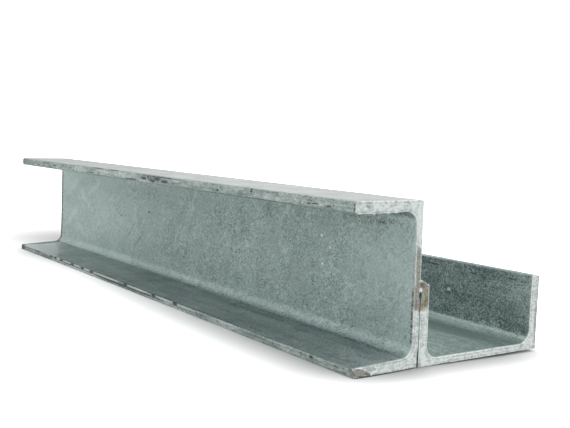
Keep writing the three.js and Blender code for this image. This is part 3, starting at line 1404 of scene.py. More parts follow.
    def _stains(self, g: Graph, place: Socket, colour: Socket) -> Socket:
        """Lays each stain's two hues where its patches are and its ragged noise lets them.

        Args:
            g: the node tree.
            place: the place.
            colour: the colour so far.

        Returns:
            The new colour.
        """
        for stain in self.stains:
            ragged = g.sway(g.noise(place, 1.5 * stain.mottle, 4, 0.7), 2 * stain.ragged)
            patches = g.spots(place, stain.patches)
            share = g.total(patches, g.times(ragged, g.ramp(patches, 0, 0.4)))
            share = g.times(g.ramp(share, 0.15, 0.6), g.ramp(patches, 0, 0.05))
            hue = g.blend(g.ramp(g.noise(place, stain.mottle, 3, 0.7), 0.42, 0.58),
                          stain.first, stain.second)
            colour = g.blend(g.times(share, stain.cover), colour, hue)
        return colour

    def _marks(self, g: Graph, place: Socket, colour: Socket) -> Socket:
        """Draws what the mesh's marks say: pale and dark ground, the chip, the pocket's depths.

        Args:
            g: the node tree.
            place: the place.
            colour: the colour so far.

        Returns:
            The new colour.
        """
        dark, pale, chip, hollow, sawn = (g.attribute(key) for key in (
            "dark", "pale", "chip", "hollow", "sawn"))
        mottle = g.sway(g.noise(g.stretch(place, (0.6, 1, 1)), 1.6 * MM, 3, 0.6), 0.6)
        light = g.times(g.ramp(g.total(pale, g.times(mottle, 1.6)), 0.25, 0.75),
                        g.ramp(pale, 0.02, 0.3))
        colour = g.blend(g.times(light, 0.8), colour, self.pale)
        # dark marks, among them painted shadow lines, go towards the soot colour
        shade = g.times(g.ramp(g.total(dark, mottle), 0.2, 0.7), g.ramp(dark, 0.02, 0.2))
        colour = g.blend(g.times(shade, 0.9), colour, self.soot_and_painted_shade)
        bare = g.blend(g.ramp(g.noise(place, 1.3 * MM, 3, 0.7), 0.4, 0.6), self.chip_dark,
                       self.chip_pale)
        colour = g.blend(g.ramp(chip, 0.3, 0.9), colour, bare)
        edge = g.times(g.ramp(chip, 0.0, 0.35), g.ramp(chip, 0.95, 0.5), sawn, 0.9)
        colour = g.blend(edge, colour, self.soot_and_painted_shade)
        return g.blend(g.ramp(hollow, 0.1, 0.4), colour, self.core)

    def _bump(self, g: Graph, place: Socket, grain: Socket, toe: Socket, sawn: Socket) -> Socket:
        """Adds fine relief: the zinc's grain, soft orange peel, and saw marks on the ends.

        Args:
            g: the node tree.
            place: the place.
            grain: the zinc's grain.
            toe: 1 on the toes.
            sawn: 1 on a sawn end.

        Returns:
            The bent normal.
        """
        peel = g.noise(place, 4.5 * MM, 2, 0.5)
        rough = g.noise(place, 1.2 * MM, 3, 0.7)
        height = g.total(g.times(peel, 0.6), g.times(grain, 0.3),
                         g.times(rough, g.total(g.times(toe, 0.8), g.times(sawn, 0.5))))
        return g.add("ShaderNodeBump", {"Height": height, "Strength": self.bump,
                                        "Distance": self.bump_height}).outputs[0]


@dataclass(frozen=True)
class WeldZinc:
    """Zinc over a weld: pale and grey blotches, browned where its stains are."""

    name: str
    grey: Colour = srgb(140, 152, 148)
    pale: Colour = srgb(206, 213, 209)
    metallic: float = 0.5
    roughness: float = 0.45
    blotch: float = 3 * MM
    bump: float = 0.5
    bump_size: float = 1.1 * MM
    bump_height: float = 0.25 * MM
    stains: Sequence[Stain] = ()

    def material(self) -> bpy.types.Material:
        """Builds the finish.

        Returns:
            The material.
        """
        material = bpy.data.materials.new(self.name)
        material.use_nodes = True
        g = Graph(material.node_tree)
        place = g.place()
        blotches = g.noise(place, self.blotch, 4, 0.65)
        colour = g.blend(g.ramp(blotches, 0.35, 0.65), self.grey, self.pale)
        for stain in self.stains:
            hue = g.blend(g.ramp(blotches, 0.4, 0.6), stain.first, stain.second)
            colour = g.blend(g.spots(place, stain.patches), colour, hue)
        rough = g.total(self.roughness, g.sway(blotches, 0.15))
        relief = g.noise(place, self.bump_size, 3, 0.6)
        bump = g.add("ShaderNodeBump", {"Height": relief, "Strength": self.bump,
                                        "Distance": self.bump_height}).outputs[0]
        surface = g.add("ShaderNodeBsdfPrincipled", {
            "Base Color": colour, "Metallic": self.metallic, "Roughness": rough, "Normal": bump})
        g.add("ShaderNodeOutputMaterial", {"Surface": surface.outputs[0]})
        return material


# ---------------------------------------------------------------------------------------------
# Studio
# ---------------------------------------------------------------------------------------------

@dataclass(frozen=True)
class SoftSun:
    """A large soft lamp, far away. heading is where its light comes from, from +X towards +Y."""

    name: str
    heading: float
    elevation: float
    strength: float                 # radiance that it gives a white card that faces it
    spread: float                   # degrees across
    distance: float = 2.0

    def light(self) -> None:
        """Hangs the lamp."""
        lamp = bpy.data.lights.new(self.name, "SUN")
        lamp.energy, lamp.angle = self.strength * math.pi, math.radians(self.spread)
        rig = bpy.data.objects.new(self.name, lamp)
        turn, lift = math.radians(self.heading), math.radians(self.elevation)
        towards = Vector((math.cos(turn) * math.cos(lift), math.sin(turn) * math.cos(lift),
                          math.sin(lift)))
        rig.rotation_mode = "QUATERNION"
        rig.rotation_quaternion = towards.to_track_quat("Z", "Y")
        rig.location = towards * self.distance
        bpy.context.scene.collection.objects.link(rig)


@dataclass
class Studio:
    """A pale floor under soft light, and the camera at the post's near end."""

    eye: Place = (0.71492, -0.39117, 0.13734)
    aim: Place = (0.15061, -0.02525, 0.07831)
    tilt: float = 1.786             # degrees that the camera is rolled, its right side up
    lens: float = 59.293
    sensor: float = 36.0
    clip: Pair = (0.02, 200.0)
    floor_half: float = 30.0
    floor_albedo: float = 0.55      # for the light that it throws back on the post
    floor_white: float = 1.88       # for the camera, so only the deep part of a shadow shows
    shade: float = 0.91             # how dark the floor's painted contact shade is under the post
    # and its painted patch beyond the -X end
    # where the painted contact shade rises and falls, along X and along Y,
    shade_along: tuple[Pair, Pair] = ((-0.22, 0.306), (0.2765, 0.3675))
    shade_across: tuple[Pair, Pair] = ((-0.142, -0.033), (0.0324, 0.138))
    shade_behind: Patch = Patch((-360, 15, 0), (307, 200, 10), 0.71)
    floor_glow: float = 0.45        # for what is mirrored
    ambient: float = 0.5
    suns: Sequence[SoftSun] = (
        SoftSun("overhead", 100, 76, 0.46, 45),
        SoftSun("end_fill", -8, 22, 0.27, 50),
    )

    def build(self) -> None:
        """Sets up everything that isn't the post."""
        self._camera()
        self._floor()
        self._world()
        for sun in self.suns:
            sun.light()
        bpy.context.scene.view_settings.view_transform = "Standard"

    def _camera(self) -> None:
        """A camera at eye whose axis passes through aim, rolled about that axis."""
        forward = (Vector(self.aim) - Vector(self.eye)).normalized()
        level = forward.cross(Vector((0, 0, 1))).normalized()
        upright = level.cross(forward)
        roll = math.radians(self.tilt)
        right = level * math.cos(roll) + upright * math.sin(roll)
        up = right.cross(forward)
        camera = bpy.data.cameras.new("camera")
        camera.lens, camera.sensor_width, camera.sensor_fit = self.lens, self.sensor, "HORIZONTAL"
        camera.clip_start, camera.clip_end = self.clip
        rig = bpy.data.objects.new("camera", camera)
        axes = Matrix((right, up, -forward)).transposed()
        rig.matrix_world = Matrix.Translation(self.eye) @ axes.to_4x4()
        bpy.context.scene.collection.objects.link(rig)
        bpy.context.scene.camera = rig

    def _floor(self) -> None:
        """A wide plane just under the post, white where no shadow and no painted shade falls."""
        half = self.floor_half
        corners = [(-half, -half, 0), (half, -half, 0), (half, half, 0), (-half, half, 0)]
        mesh = bpy.data.meshes.new("floor")
        mesh.from_pydata(corners, [], [(0, 1, 2, 3)])
        floor = bpy.data.objects.new("floor", mesh)
        bpy.context.scene.collection.objects.link(floor)
        material = bpy.data.materials.new("pale_floor")
        material.use_nodes = True
        g = Graph(material.node_tree)
        seen, mirrored = g.seen()
        # white for the camera, darkened by the painted contact shade
        white = g.blend(self._painted_contact_shade(g), (self.floor_white,) * 3, (0.0,) * 3)
        tint = g.blend(seen, (self.floor_albedo,) * 3, white)
        card = g.add("ShaderNodeBsdfDiffuse", {"Color": tint})
        glow = g.add("ShaderNodeEmission", {
            "Color": (1.0, 1.0, 1.0), "Strength": g.times(mirrored, self.floor_glow)})
        both = g.add("ShaderNodeAddShader", {0: card.outputs[0], 1: glow.outputs[0]})
        g.add("ShaderNodeOutputMaterial", {"Surface": both.outputs[0]})
        mesh.materials.append(material)

    def _painted_contact_shade(self, g: Graph) -> Level:
        """Draws the painted contact shade round the post, besides the floor's real shadow.

        It is a product of two humps, one along X and one along Y, that rise over their first pair
        of places and fall over their last, together with a soft patch beyond the -X end.

        Args:
            g: the floor's node tree.

        Returns:
            How dark the painted shade makes the floor.
        """
        place = g.place()
        split = g.add("ShaderNodeSeparateXYZ", {"Vector": place})
        hump = self.shade
        for axis, (rise, (hold, end)) in enumerate((self.shade_along, self.shade_across)):
            hump = g.times(hump, g.ramp(split.outputs[axis], *rise),
                           g.ramp(split.outputs[axis], end, hold))
        behind = g.spot(place, self.shade_behind)
        return g.inverse(g.times(g.inverse(hump), g.inverse(behind)))

    def _world(self) -> None:
        """White where it is seen or mirrored, and dimmer as a light."""
        world = bpy.data.worlds.new("studio")
        world.use_nodes = True
        g = Graph(world.node_tree)
        strength = g.ramp(g.calc("MAXIMUM", *g.seen()), 0.0, 1.0, self.ambient, 1.0)
        ground = g.add("ShaderNodeBackground", {"Color": (1.0, 1.0, 1.0), "Strength": strength})
        g.add("ShaderNodeOutputWorld", {"Surface": ground.outputs[0]})
        bpy.context.scene.world = world


# ---------------------------------------------------------------------------------------------
# The post
# ---------------------------------------------------------------------------------------------

# Planes of the post in millimetres, read from the frame.
FAR_END, NEAR_END = (round(corner.x / MM, 2) for corner in CAD_BOX)
TOE_SIDE, OUTER_SIDE = (round(corner.y / MM, 2) for corner in CAD_BOX)
WEB_SIDE = round((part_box(STANDING)[1].y - Section.web) / MM, 2)

# The flat sides that patches are laid on.
END = Face(0, NEAR_END, 3)
FOOT = Face(0, NEAR_END + 2, 5)     # the sawn end's foot, which stands out
WEB = Face(1, round(WEB_SIDE), 2)
SOFT_WEB = Face(1, round(WEB_SIDE), 20)
TOE = Face(1, round(TOE_SIDE), 3)
LOW_FLANGE = Face(2, 6, 5)          # the standing channel's lower flange, inside
OUTER_FLANGE = Face(1, 68.4, 2)     # the lying channel's flange away from the seam, inside
SOFT_FLANGE = Face(1, 68, 6)


def standing_marks() -> list[Mark]:
    """Lists the standing channel's wear and painted shadow lines, in millimetres of the post's
    frame.

    Returns:
        The ridge on the lower toe, both toes' worn places, the ends, breaks, dents and drips.
    """
    side = TOE_SIDE
    ridge = [Mark((x, side, 4.2), (reach, 1.0, 1.0), -0.2, pale) for x, reach, pale in (
        (-182, 9, -0.8), (-158, 15, -1.0), (-130, 13, -1.0), (-105, 11, -1.0), (-54, 42, -0.9),
        (12, 30, -0.9), (59, 19, -0.8), (100, 24, -0.6), (160, 44, -0.55), (225, 36, -0.5),
        (278, 24, -0.5))]
    lower_toe = [
        Mark((-40, side, 2.4), (80, 1.2, 1.1), 0.4, 0.85),
        Mark((30, side, 2.5), (50, 1.2, 1.0), 0.3, 0.7),
        Mark((-140, side, 2.7), (80, 1.2, 0.7), 0.3, 0.6),
        Mark((-120, side, 1.4), (80, 1.0, 0.9), 0.0, -0.9),
        Mark((-262, side, 2.2), (50, 1.2, 1.6), 0.0, -0.5),
        Mark((92, side, 1.7), (46, 1.2, 1.6), 0.3, 0.4),
        Mark((252, side, 3.2), (24, 1.2, 0.7), 0.2, 0.35),
        Mark((-60, side, 0.4), (260, 2.0, 0.7), 0.1, 0.35),
        Mark((225, side, 0.4), (150, 2.0, 0.8), 0.1, 0.35),
        Mark((40, side + 1.2, 5.2), (330, 1.2, 1.4), 0.1, 0.6),
        Mark((112, side, 2.2), (17, 1.5, 1.9), 0.3, 0.4),
        Mark((-247, side, 3.6), (12, 1.6, 1.8), 0.2, 0.6),
        Mark((FAR_END, side + 1, 3), (18, 4, 4.5), 0.0, 1.0),
    ]
    upper_toe = [
        Mark((FAR_END - 2, side, 97), (14, 3, 4), 0.0, 0.5),
        Mark((240, side, 98.8), (84, 2.0, 0.8), 0.1, 0.45),
        Mark((245, side, 95.6), (70, 1.5, 1.8), 0.0, -0.4),
        Mark((50, side, 98.7), (66, 2.0, 0.9), 0.1, 0.6),
    ]
    ends = [
        # a painted shadow line where the web's inner face meets its sawn end, over a shallow groove
        Mark((NEAR_END - 1.4, WEB_SIDE, 34), (1.5, 2, 30), 0.1, 0.6),
        Mark((NEAR_END - 1.6, side, 96.4), (1.5, 2, 4.4), 0.1, 0.6),
        Mark((FAR_END - 6, -50, 6.8), (26, 34, 5), 0.0, 1.0),
        Mark((FAR_END - 6, -30, 30), (13, 4, 60), 0.0, 1.0),
        # a painted contact shadow along the foot of the +X end
        Mark((NEAR_END, -50, 0.0), (3, 40, 1.0), 0.0, 1.0),
    ]
    breaks = row_of_marks(((-203, 4), (-191, 4), (-173, 4), (-143, 4), (-116, 4), (-93, 4),
                           (-16, 4), (40, 4), (78, 4)), side, (4.6, 1.8, 1.9), 0.7, 1.4)
    dents = [
        Mark((218, side, 2.8), (2.4, 1.5, 1.2), 0.4, 0.6),
        Mark((236, side, 3.6), (2.4, 1.5, 1.1), 0.3, 0.55),
        Mark((250, side, 3.6), (2.2, 1.5, 1.1), 0.4, 0.7),
        Mark((261, side, 3.4), (2.6, 1.5, 1.3), 0.6, 1.0),
        Mark((285, side, 3.3), (4.5, 1.5, 1.4), 0.3, 0.5),
    ]
    dents += row_of_marks(((16, 96.4), (33, 95.0), (41, 97.2), (55, 95.6)), side,
                          (8, 2, 1.8), 0.3, 0.8)
    dents += row_of_marks(((139.5, 95.1), (186, 97.6), (186, 99)), side, (2.2, 1.6, 1.1), 0.9, 1.0)
    dents += row_of_marks(((253, 95.1), (260, 95.4), (273.5, 95)), side, (5.0, 1.4, 0.6), 0.5, 1.0)
    dents += row_of_marks(((-197, 96.5), (-98, 94.8)), side, (8, 2, 1.2), 0.3, 0.7)
    dents += row_of_marks(((-83, 99.6), (-47, 99.7), (-8, 94.1)), side, (20, 2, 0.8), 0.3, 1.0)
    bare = row_of_marks(((-82, 97.4), (-58, 96.6), (-28, 97.6), (75, 97.5)), side,
                        (15, 2, 1.2), -0.1, -0.6)
    drips = [Mark((NEAR_END - 0.4, y, 93.1), (1.4, reach, 2.0), -0.7, 0.0)
             for y, reach in ((-62, 1.8), (-57.5, 1.1), (-51, 2.2), (-46, 1.2))]
    return [*ridge, *lower_toe, *upper_toe, *ends, *breaks, *dents, *bare, *drips]


def lying_marks() -> list[Mark]:
    """Lists the lying channel's wear and a painted shadow line, in millimetres of the post's frame.

    Returns:
        The dents in its outer side, and the painted contact shadow along its end's foot.
    """
    dents = [Mark((x, OUTER_SIDE, z), (2.2, 1.5, 1.6), 0.4, 0.7)
             for x, z in ((120, 47), (20, 45), (-90, 48), (-210, 46))]
    # the last mark is a painted contact shadow along the foot of the +X end
    return [*dents, Mark((NEAR_END, 0, 0.1), (3, 34, 0.8), 0.0, 0.4)]


BROWNED_BEAD = (
    # browned where the seam was heated
    Stain(srgb(106, 96, 88), srgb(140, 140, 130), (
        Patch((NEAR_END + 1, -24.4, 50), (4, 4.6, 2.6), 1.0, 0.4),
    )),
)

HEATED_SEAM = (
    # brown over the bead
    Stain(srgb(118, 96, 84), srgb(150, 138, 126), (
        END.patch(-25, 50, 3, 3, deep=8),
    )),
    # white under it
    Stain(srgb(236, 236, 236), srgb(214, 214, 210), (
        END.patch(-25, 46.4, 3, 2, 1.0, 0.7, deep=4),
    )),
)

ROUND_POCKET = (
    # dirty ground round the weld's pocket
    Stain(srgb(100, 98, 84), srgb(156, 156, 144), (
        END.patch(-24.8, 43, 8.6, 10, 1.0, 0.75),
    ), mottle=0.7 * MM, ragged=0.8, cover=0.85),
    # its paler sides
    Stain(srgb(176, 184, 178), srgb(196, 204, 199), (
        END.patch(-30.6, 44, 1.5, 13, 1.0, 0.5), END.patch(-18.2, 43, 1.3, 11, 1.0, 0.5),
    ), ragged=0.5, cover=0.7),
    # the dark foot of the seam
    Stain(srgb(44, 56, 50), srgb(62, 72, 66), (
        END.patch(-25.5, 3.0, 0.75, 9.5, 1.0, 0.6, deep=4),
    ), ragged=0.0, cover=0.95),
    # rust red beside the pocket and on top of it
    Stain(srgb(158, 112, 106), srgb(112, 88, 84), (
        END.patch(-28.2, 38.8, 1.3, 4.4, 0.6, 0.2), END.patch(-24.0, 48.8, 3.4, 2.4, 0.9),
    ), mottle=0.5 * MM, ragged=1.2, cover=0.8),
    # rust tan on its other side
    Stain(srgb(142, 130, 102), srgb(86, 82, 66), (
        END.patch(-20.8, 39.8, 2.4, 4.6, 0.8, 0.3), END.patch(-23.2, 37.6, 1.5, 1.8, 0.7, 0.3),
    ), mottle=0.7 * MM, ragged=1.1, cover=0.85),
    # pale brown under that
    Stain(srgb(176, 166, 158), srgb(186, 182, 174), (
        END.patch(-21.6, 35.0, 3.0, 1.9, 0.8, 0.3),
    ), mottle=0.7 * MM, ragged=0.9, cover=0.7),
    # a thin yellowish streak
    Stain(srgb(184, 182, 150), srgb(168, 168, 140), (
        END.patch(-22.6, 42.6, 0.8, 4.2, 0.9, 0.2, tilt=12),
    ), ragged=0.4, cover=0.8),
    # a white fleck under the bead
    Stain(srgb(240, 240, 240), srgb(214, 214, 210), (
        END.patch(-25.1, 46.7, 1.4, 1.9, 1.0, 0.6),
    ), ragged=0.2, cover=0.95),
    # a bluish grey spot
    Stain(srgb(164, 168, 180), srgb(140, 146, 158), (
        END.patch(-26.7, 41.2, 0.9, 3.2, 1.0, 0.4),
    ), ragged=0.3, cover=0.85),
)

STANDING_STAINS = (
    # an olive strip over the pocket, beside the seam
    Stain(srgb(98, 96, 76), srgb(160, 162, 152), (
        END.patch(-27.7, 60, 2.0, 13, 1.0, 0.6),
    ), mottle=0.55 * MM, ragged=0.9, cover=0.85),
    # its darker upper end
    Stain(srgb(84, 88, 78), srgb(170, 176, 170), (
        END.patch(-27.7, 69.6, 2.4, 3.8, 0.9, 0.4),
    ), mottle=0.6 * MM, ragged=1.1, cover=0.8),
    # its grey edge
    Stain(srgb(146, 152, 147), srgb(186, 192, 188), (
        END.patch(-30, 58, 1.6, 18, 0.8, 0.5),
    ), ragged=0.9, cover=0.5),
    *ROUND_POCKET,
    # brownish traces along the seam
    Stain(srgb(150, 132, 128), srgb(128, 136, 132), (
        END.patch(-27.8, 17, 2.0, 6, 0.5), END.patch(-28.2, 27, 1.4, 5, 0.4),
        END.patch(-28, 80, 1.5, 6, 0.25),
    ), mottle=0.8 * MM, ragged=1.3, cover=0.6),
    # the brown corner of the near foot
    Stain(srgb(88, 86, 76), srgb(130, 132, 124), (
        FOOT.patch(-70.0, 2.1, 4.6, 2.8, 1.0, 0.85),
        FOOT.patch(-66.8, 1.9, 5.2, 1.9, 1.0, 0.6, tilt=-14),
    ), mottle=0.8 * MM, ragged=0.4, cover=0.85),
    # pale lines in it
    Stain(srgb(164, 158, 148), srgb(148, 142, 130), (
        FOOT.patch(-66, 2.7, 4.5, 0.35, 1.0, 0.3, tilt=8),
        FOOT.patch(-68, 1.2, 4.0, 0.3, 1.0, 0.3, tilt=-6),
    ), ragged=0.2, cover=0.8),
    # its darkest spots
    Stain(srgb(84, 78, 70), srgb(114, 110, 99), (
        FOOT.patch(-65, 1.6, 2.8, 1.2, 0.9, 0.3, tilt=-14, deep=7),
        FOOT.patch(-70, 0.9, 3.2, 0.8, 0.6, 0.3, tilt=-6, deep=7),
    ), mottle=0.7 * MM, ragged=0.7, cover=0.75),
    # a bluish grey spot over it
    Stain(srgb(126, 120, 126), srgb(150, 152, 152), (
        FOOT.patch(-72.0, 3.9, 2.4, 1.1, 1.0, 0.5, deep=4),
    ), mottle=0.7 * MM, ragged=0.5, cover=0.7),
    # the dark edge of the knocked corner
    Stain(srgb(46, 56, 52), srgb(66, 76, 72), (
        Patch((NEAR_END + 1.7, TOE_SIDE - 0.05, 3.0), (1.5, 1.6, 5.8), 1.0, 0.6, (0, -41, 0)),
    ), ragged=0.0, cover=0.9),
    # grey corners and flecks of the sawn end
    Stain(srgb(158, 164, 161), srgb(128, 136, 133), (
        END.patch(-66, 97, 4, 1.5, 0.7), END.patch(-29, 97, 3, 1.2, 0.7),
        END.patch(-40, 97, 5, 1.0, 0.4), END.patch(-50, 3, 12, 3, 0.15),
        FOOT.patch(-62, 4, 7, 3, 0.42, 0.3, deep=4),
    ), ragged=1.2, cover=0.8),
    # dark spots on the web
    Stain(srgb(70, 82, 79), srgb(88, 100, 97), (
        WEB.patch(-70.7, 60.2, 4, 1.6), WEB.patch(62, 72, 2.4, 1.2, 0.7),
        WEB.patch(128, 74, 2.4, 1.2, 0.7), WEB.patch(275, 10, 2.2, 1.4, deep=3),
        WEB.patch(-135, 51, 3, 1.6, 0.6), WEB.patch(-192, 33, 4, 1.6, 0.5),
        WEB.patch(267, 84, 8, 2, 0.5),
    ), ragged=0.3),
    # two slanting scuffs on it
    Stain(srgb(106, 122, 118), srgb(96, 112, 108), (
        WEB.patch(-94, 31, 19, 1.2, 0.8, 0.1, tilt=-38),
        WEB.patch(-112, 38, 24, 1.0, 0.6, 0.1, tilt=-42),
    ), ragged=0.6, cover=0.85),
    # dark specks on its upper part
    Stain(srgb(76, 90, 86), srgb(104, 118, 114), (
        WEB.patch(256, 86, 58, 9, 0.3, 0.2, deep=3),
    ), mottle=0.6 * MM, ragged=1.1, cover=0.8),
    # white specks on it
    Stain(srgb(236, 240, 238), srgb(206, 216, 213), (
        WEB.patch(204, 69, 1.8, 1.4, 1.0, 0.5, deep=3),
        WEB.patch(214, 62, 1.7, 1.3, 1.0, 0.5, deep=3),
        WEB.patch(206, 50, 1.5, 1.3, 1.0, 0.5, deep=3), WEB.patch(160, 80, 2.2, 1.2, 0.8, deep=3),
    ), ragged=0.0, cover=0.8),
    # a blotch on the upper toe
    Stain(srgb(62, 74, 71), srgb(168, 178, 174), (
        TOE.patch(34, 96.4, 26, 3.2, 0.8, 0.4),
    ), mottle=2.4 * MM, ragged=0.9, cover=0.85),
    # the greyer lower toe towards the -X end
    Stain(srgb(92, 104, 100), srgb(118, 130, 126), (
        Patch((-256, -75.4, 1.6), (66, 3, 3.4), 1.0, 0.6),
    ), ragged=0.5, cover=0.8),
    # and the greyer upper toe
    Stain(srgb(116, 132, 126), srgb(140, 154, 148), (
        TOE.patch(FAR_END - 6, 97, 36, 6, 1.0, 0.5, deep=4),
    ), ragged=0.5, cover=0.7),
    # pale bare places on the upper toe
    Stain(srgb(214, 222, 218), srgb(182, 194, 189), (
        TOE.patch(-130, 96.5, 30, 4, 0.8, 0.3), TOE.patch(-70, 96.6, 15, 3, 1.0, 0.4),
        TOE.patch(-30, 96, 34, 3, 0.6, 0.2), TOE.patch(8, 94, 46, 1.6, 0.7, 0.2),
    ), mottle=2.4 * MM, ragged=0.8, cover=0.7),
    # a scuff on the lower flange
    Stain(srgb(214, 224, 219), srgb(122, 136, 131), (
        LOW_FLANGE.patch(268, -53, 20, 7, 1.0, 0.4, tilt=-28, deep=4),
        LOW_FLANGE.patch(276, -63, 9, 4, 0.6, 0.2, tilt=-28, deep=3),
    ), mottle=2.0 * MM, ragged=0.8, cover=0.6),
    # white on the web's end, beside the seam
    Stain(srgb(230, 236, 233), srgb(212, 220, 216), (
        END.patch(-27.6, 88, 4, 15, 1.0, 0.5),
    ), ragged=0.5, cover=0.75),
    # a faint mottle on the lower flange's end
    Stain(srgb(146, 154, 151), srgb(186, 193, 190), (
        Patch((NEAR_END + 1, -50, 3.4), (5, 18, 5), 0.9, 0.6),
    ), mottle=1.6 * MM, ragged=1.1, cover=0.25),
)

STANDING_SHADES = (
    SOFT_WEB.patch(-320, 50, 300, 130, 0.24, deep=60), SOFT_WEB.patch(-292, 84, 60, 30, 0.14),
    SOFT_WEB.patch(-298, 12, 50, 26, -0.2), SOFT_WEB.patch(300, 58, 110, 70, 0.24),
    SOFT_WEB.patch(20, 50, 170, 80, -0.01, deep=12),
    # painted shade under the upper flange, on the web's top
    SOFT_WEB.patch(210, 90, 110, 12, -0.1, deep=30),
    SOFT_WEB.patch(-150, 40, 130, 60, 0.11, deep=12),
    SOFT_WEB.patch(-262, 74, 7, 34, 0.24, 0.2, tilt=64),
    SOFT_WEB.patch(-232, 62, 6, 30, 0.2, 0.2, tilt=-60),
    SOFT_WEB.patch(-268, 40, 6, 30, 0.2, 0.2, tilt=58),
    SOFT_WEB.patch(-205, 74, 5, 28, 0.18, 0.2, tilt=66),
    SOFT_WEB.patch(-240, 26, 5, 26, 0.16, 0.2, tilt=-66),
    LOW_FLANGE.patch(-240, -85, 150, 30, 0.4, 0.86, tilt=-18.6),
    # painted shade on the lower flange along the web's foot, and along the root
    LOW_FLANGE.patch(56, -40, 170, 22, -0.07, 0.3),
    Patch((210, -35, 6.8), (130, 9, 3), -0.06, 0.3),
    LOW_FLANGE.patch(-110, -52, 80, 30, 0.22, 0.3), LOW_FLANGE.patch(280, -60, 60, 20, 0.1, 0.2),
    # the last patch is painted shade under the upper flange, along its root
    LOW_FLANGE.patch(280, -45, 90, 30, 0.08, 0.3), Patch((245, -36, 92), (220, 40, 4), -0.4, 0.4),
)

STANDING_CALM = (
    SOFT_WEB.patch(300, 60, 85, 60, 0.18, 0.3),
    SOFT_WEB.patch(-260, 50, 330, 120, 0.24, 0.3, deep=40),
    SOFT_WEB.patch(-165, 78, 40, 18, 0.4, 0.3),
)

TOP_PAINTED_SHADE = (
    # the far part of the highest faces, painted darker: painted shade
    Patch((-320, -50, 100), (400, 70, 20), -0.35, 0.3),
)

LYING_STAINS = (
    *ROUND_POCKET,
    # grey along the outer flange's end
    Stain(srgb(146, 148, 146), srgb(182, 182, 181), (
        END.patch(74.2, 22, 2.6, 30, 0.7, 0.2), END.patch(72, 3, 6, 4, 0.4),
    ), mottle=1.2 * MM, ragged=1.0, cover=0.6),
    # a darker line in it
    Stain(srgb(90, 98, 94), srgb(118, 126, 122), (
        END.patch(73.8, 16, 1.4, 20, 0.4, 0.2),
    ), mottle=1.1 * MM, ragged=1.1, cover=0.7),
    # one bright fleck on the outer flange: a zinc drop, painted white for the glint it catches
    Stain(srgb(240, 255, 250), srgb(240, 255, 250), (
        OUTER_FLANGE.patch(223.4, 29.2, 1.9, 1.4, 1.0, 0.8),
    ), ragged=0.0),
    # dark lines along it
    Stain(srgb(60, 72, 70), srgb(84, 96, 94), (
        OUTER_FLANGE.patch(204, 45.2, 17, 0.7, 0.7, 0.3, tilt=1.8),
        OUTER_FLANGE.patch(248, 43.6, 8, 0.7, 0.6, 0.3, tilt=1.8),
        OUTER_FLANGE.patch(283, 45.2, 8, 0.8, 0.8, 0.4),
    ), ragged=0.8, cover=0.9),
    # a pale and dark scuff on it
    Stain(srgb(178, 194, 188), srgb(118, 132, 128), (
        OUTER_FLANGE.patch(236, 41.5, 34, 3.2, 0.5, 0.2, tilt=2),
        OUTER_FLANGE.patch(284, 24, 16, 9, 0.4, 0.2),
    ), mottle=1.1 * MM, ragged=1.4, cover=0.6),
)

LYING_SHADES = (
    # painted shade in the trough between the flanges, and in its corner by the outer flange
    Patch((100, 22, 5), (460, 66, 7), -0.4, 0.85), Patch((290, 62, 10), (44, 12, 9), -0.16, 0.2),
    Patch((240, 50, 6), (70, 12, 4), -0.24, 0.2),
    # painted light on the outer flange's inner face, which the standing channel shades
    SOFT_FLANGE.patch(100, 28, 500, 34, 0.06, 0.6, deep=5),
    SOFT_FLANGE.patch(250, 22, 34, 20, 0.12, 0.3), SOFT_FLANGE.patch(296, 38, 22, 24, 0.14, 0.3),
    SOFT_FLANGE.patch(288, 42.5, 34, 8, 0.2, 0.4),
)

LYING_CALM = (
    Patch((150, 22, 5), (460, 66, 7), 0.4, 0.85),
)


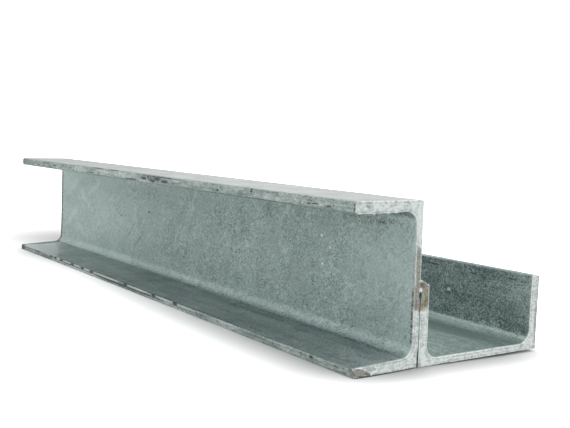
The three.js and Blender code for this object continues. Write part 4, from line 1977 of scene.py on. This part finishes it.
def dress(piece: bpy.types.Object, node: str, material: bpy.types.Material) -> None:
    """Puts a finished piece in a node's place.

    Args:
        piece: the piece.
        node: the node that it replaces.
        material: its finish.
    """
    piece.data.materials.append(material)
    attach(piece, "root")
    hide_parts(node)
    LOG.info("%s: %d faces for %s", piece.name, len(piece.data.polygons), node)


def main() -> None:
    """Builds the studio and dresses the post, piece by piece."""
    logging.basicConfig(level=logging.INFO, format="%(name)s: %(message)s")
    Studio().build()

    standing = Channel(STANDING, Lie.STANDING, "standing_channel_zinc", standing_marks(),
                       chipped=True, lean=1.9 * MM, swell=0.8 * MM,
                       far_cut=(1 * MM, 2.5 * MM, 2.6 * MM), near_foot=4.4 * MM, seed=3,
                       toe_radii=((0.8 * MM, 0.7 * MM), (1.9 * MM, 2.3 * MM)), toe_band=0.6 * MM)
    dress(standing.build(), STANDING,
          ChannelZinc("zinc_on_standing_channel", shades=STANDING_SHADES, top_painted_shade=TOP_PAINTED_SHADE,
                      calm=STANDING_CALM, stains=STANDING_STAINS).material())
    lying = Channel(LYING, Lie.LYING, "lying_channel_zinc", lying_marks(), pull=1.7 * MM,
                    splay=0.8 * MM, far_cut=(3.5 * MM, 0.0, 0.0), root_run=2 * MM, seed=40)
    dress(lying.build(), LYING,
          ChannelZinc("zinc_on_lying_channel", dark=srgb(98, 116, 113), streaks=0.15,
                      web_streaks=0.4, flange_tone=0.28, flange_flecks=2.2, flange_worms=0.22,
                      flange_light=srgb(214, 228, 224), flange_grain=0.6, root_sheen=0.4,
                      bloom_cover=0.25, toe_lift=-0.28, end_tone=0.88, shades=LYING_SHADES,
                      calm=LYING_CALM, stains=LYING_STAINS).material())

    bead_zinc = WeldZinc("zinc_on_weld", stains=BROWNED_BEAD).material()
    welds = sorted(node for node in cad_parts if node.startswith("toe_weld_"))
    for index, node in enumerate(welds):
        dress(ToeWeld(node, seed=21 + index).build(), node, bead_zinc)

    seam = SeamZinc().build()
    seam.data.materials.append(WeldZinc("zinc_in_seam", srgb(98, 106, 102), srgb(146, 154, 150),
                                        stains=HEATED_SEAM).material())
    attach(seam, "root")
    LOG.info("%s: %d faces in the seam's ends", seam.name, len(seam.data.polygons))


if __name__ == "__main__":
    main()
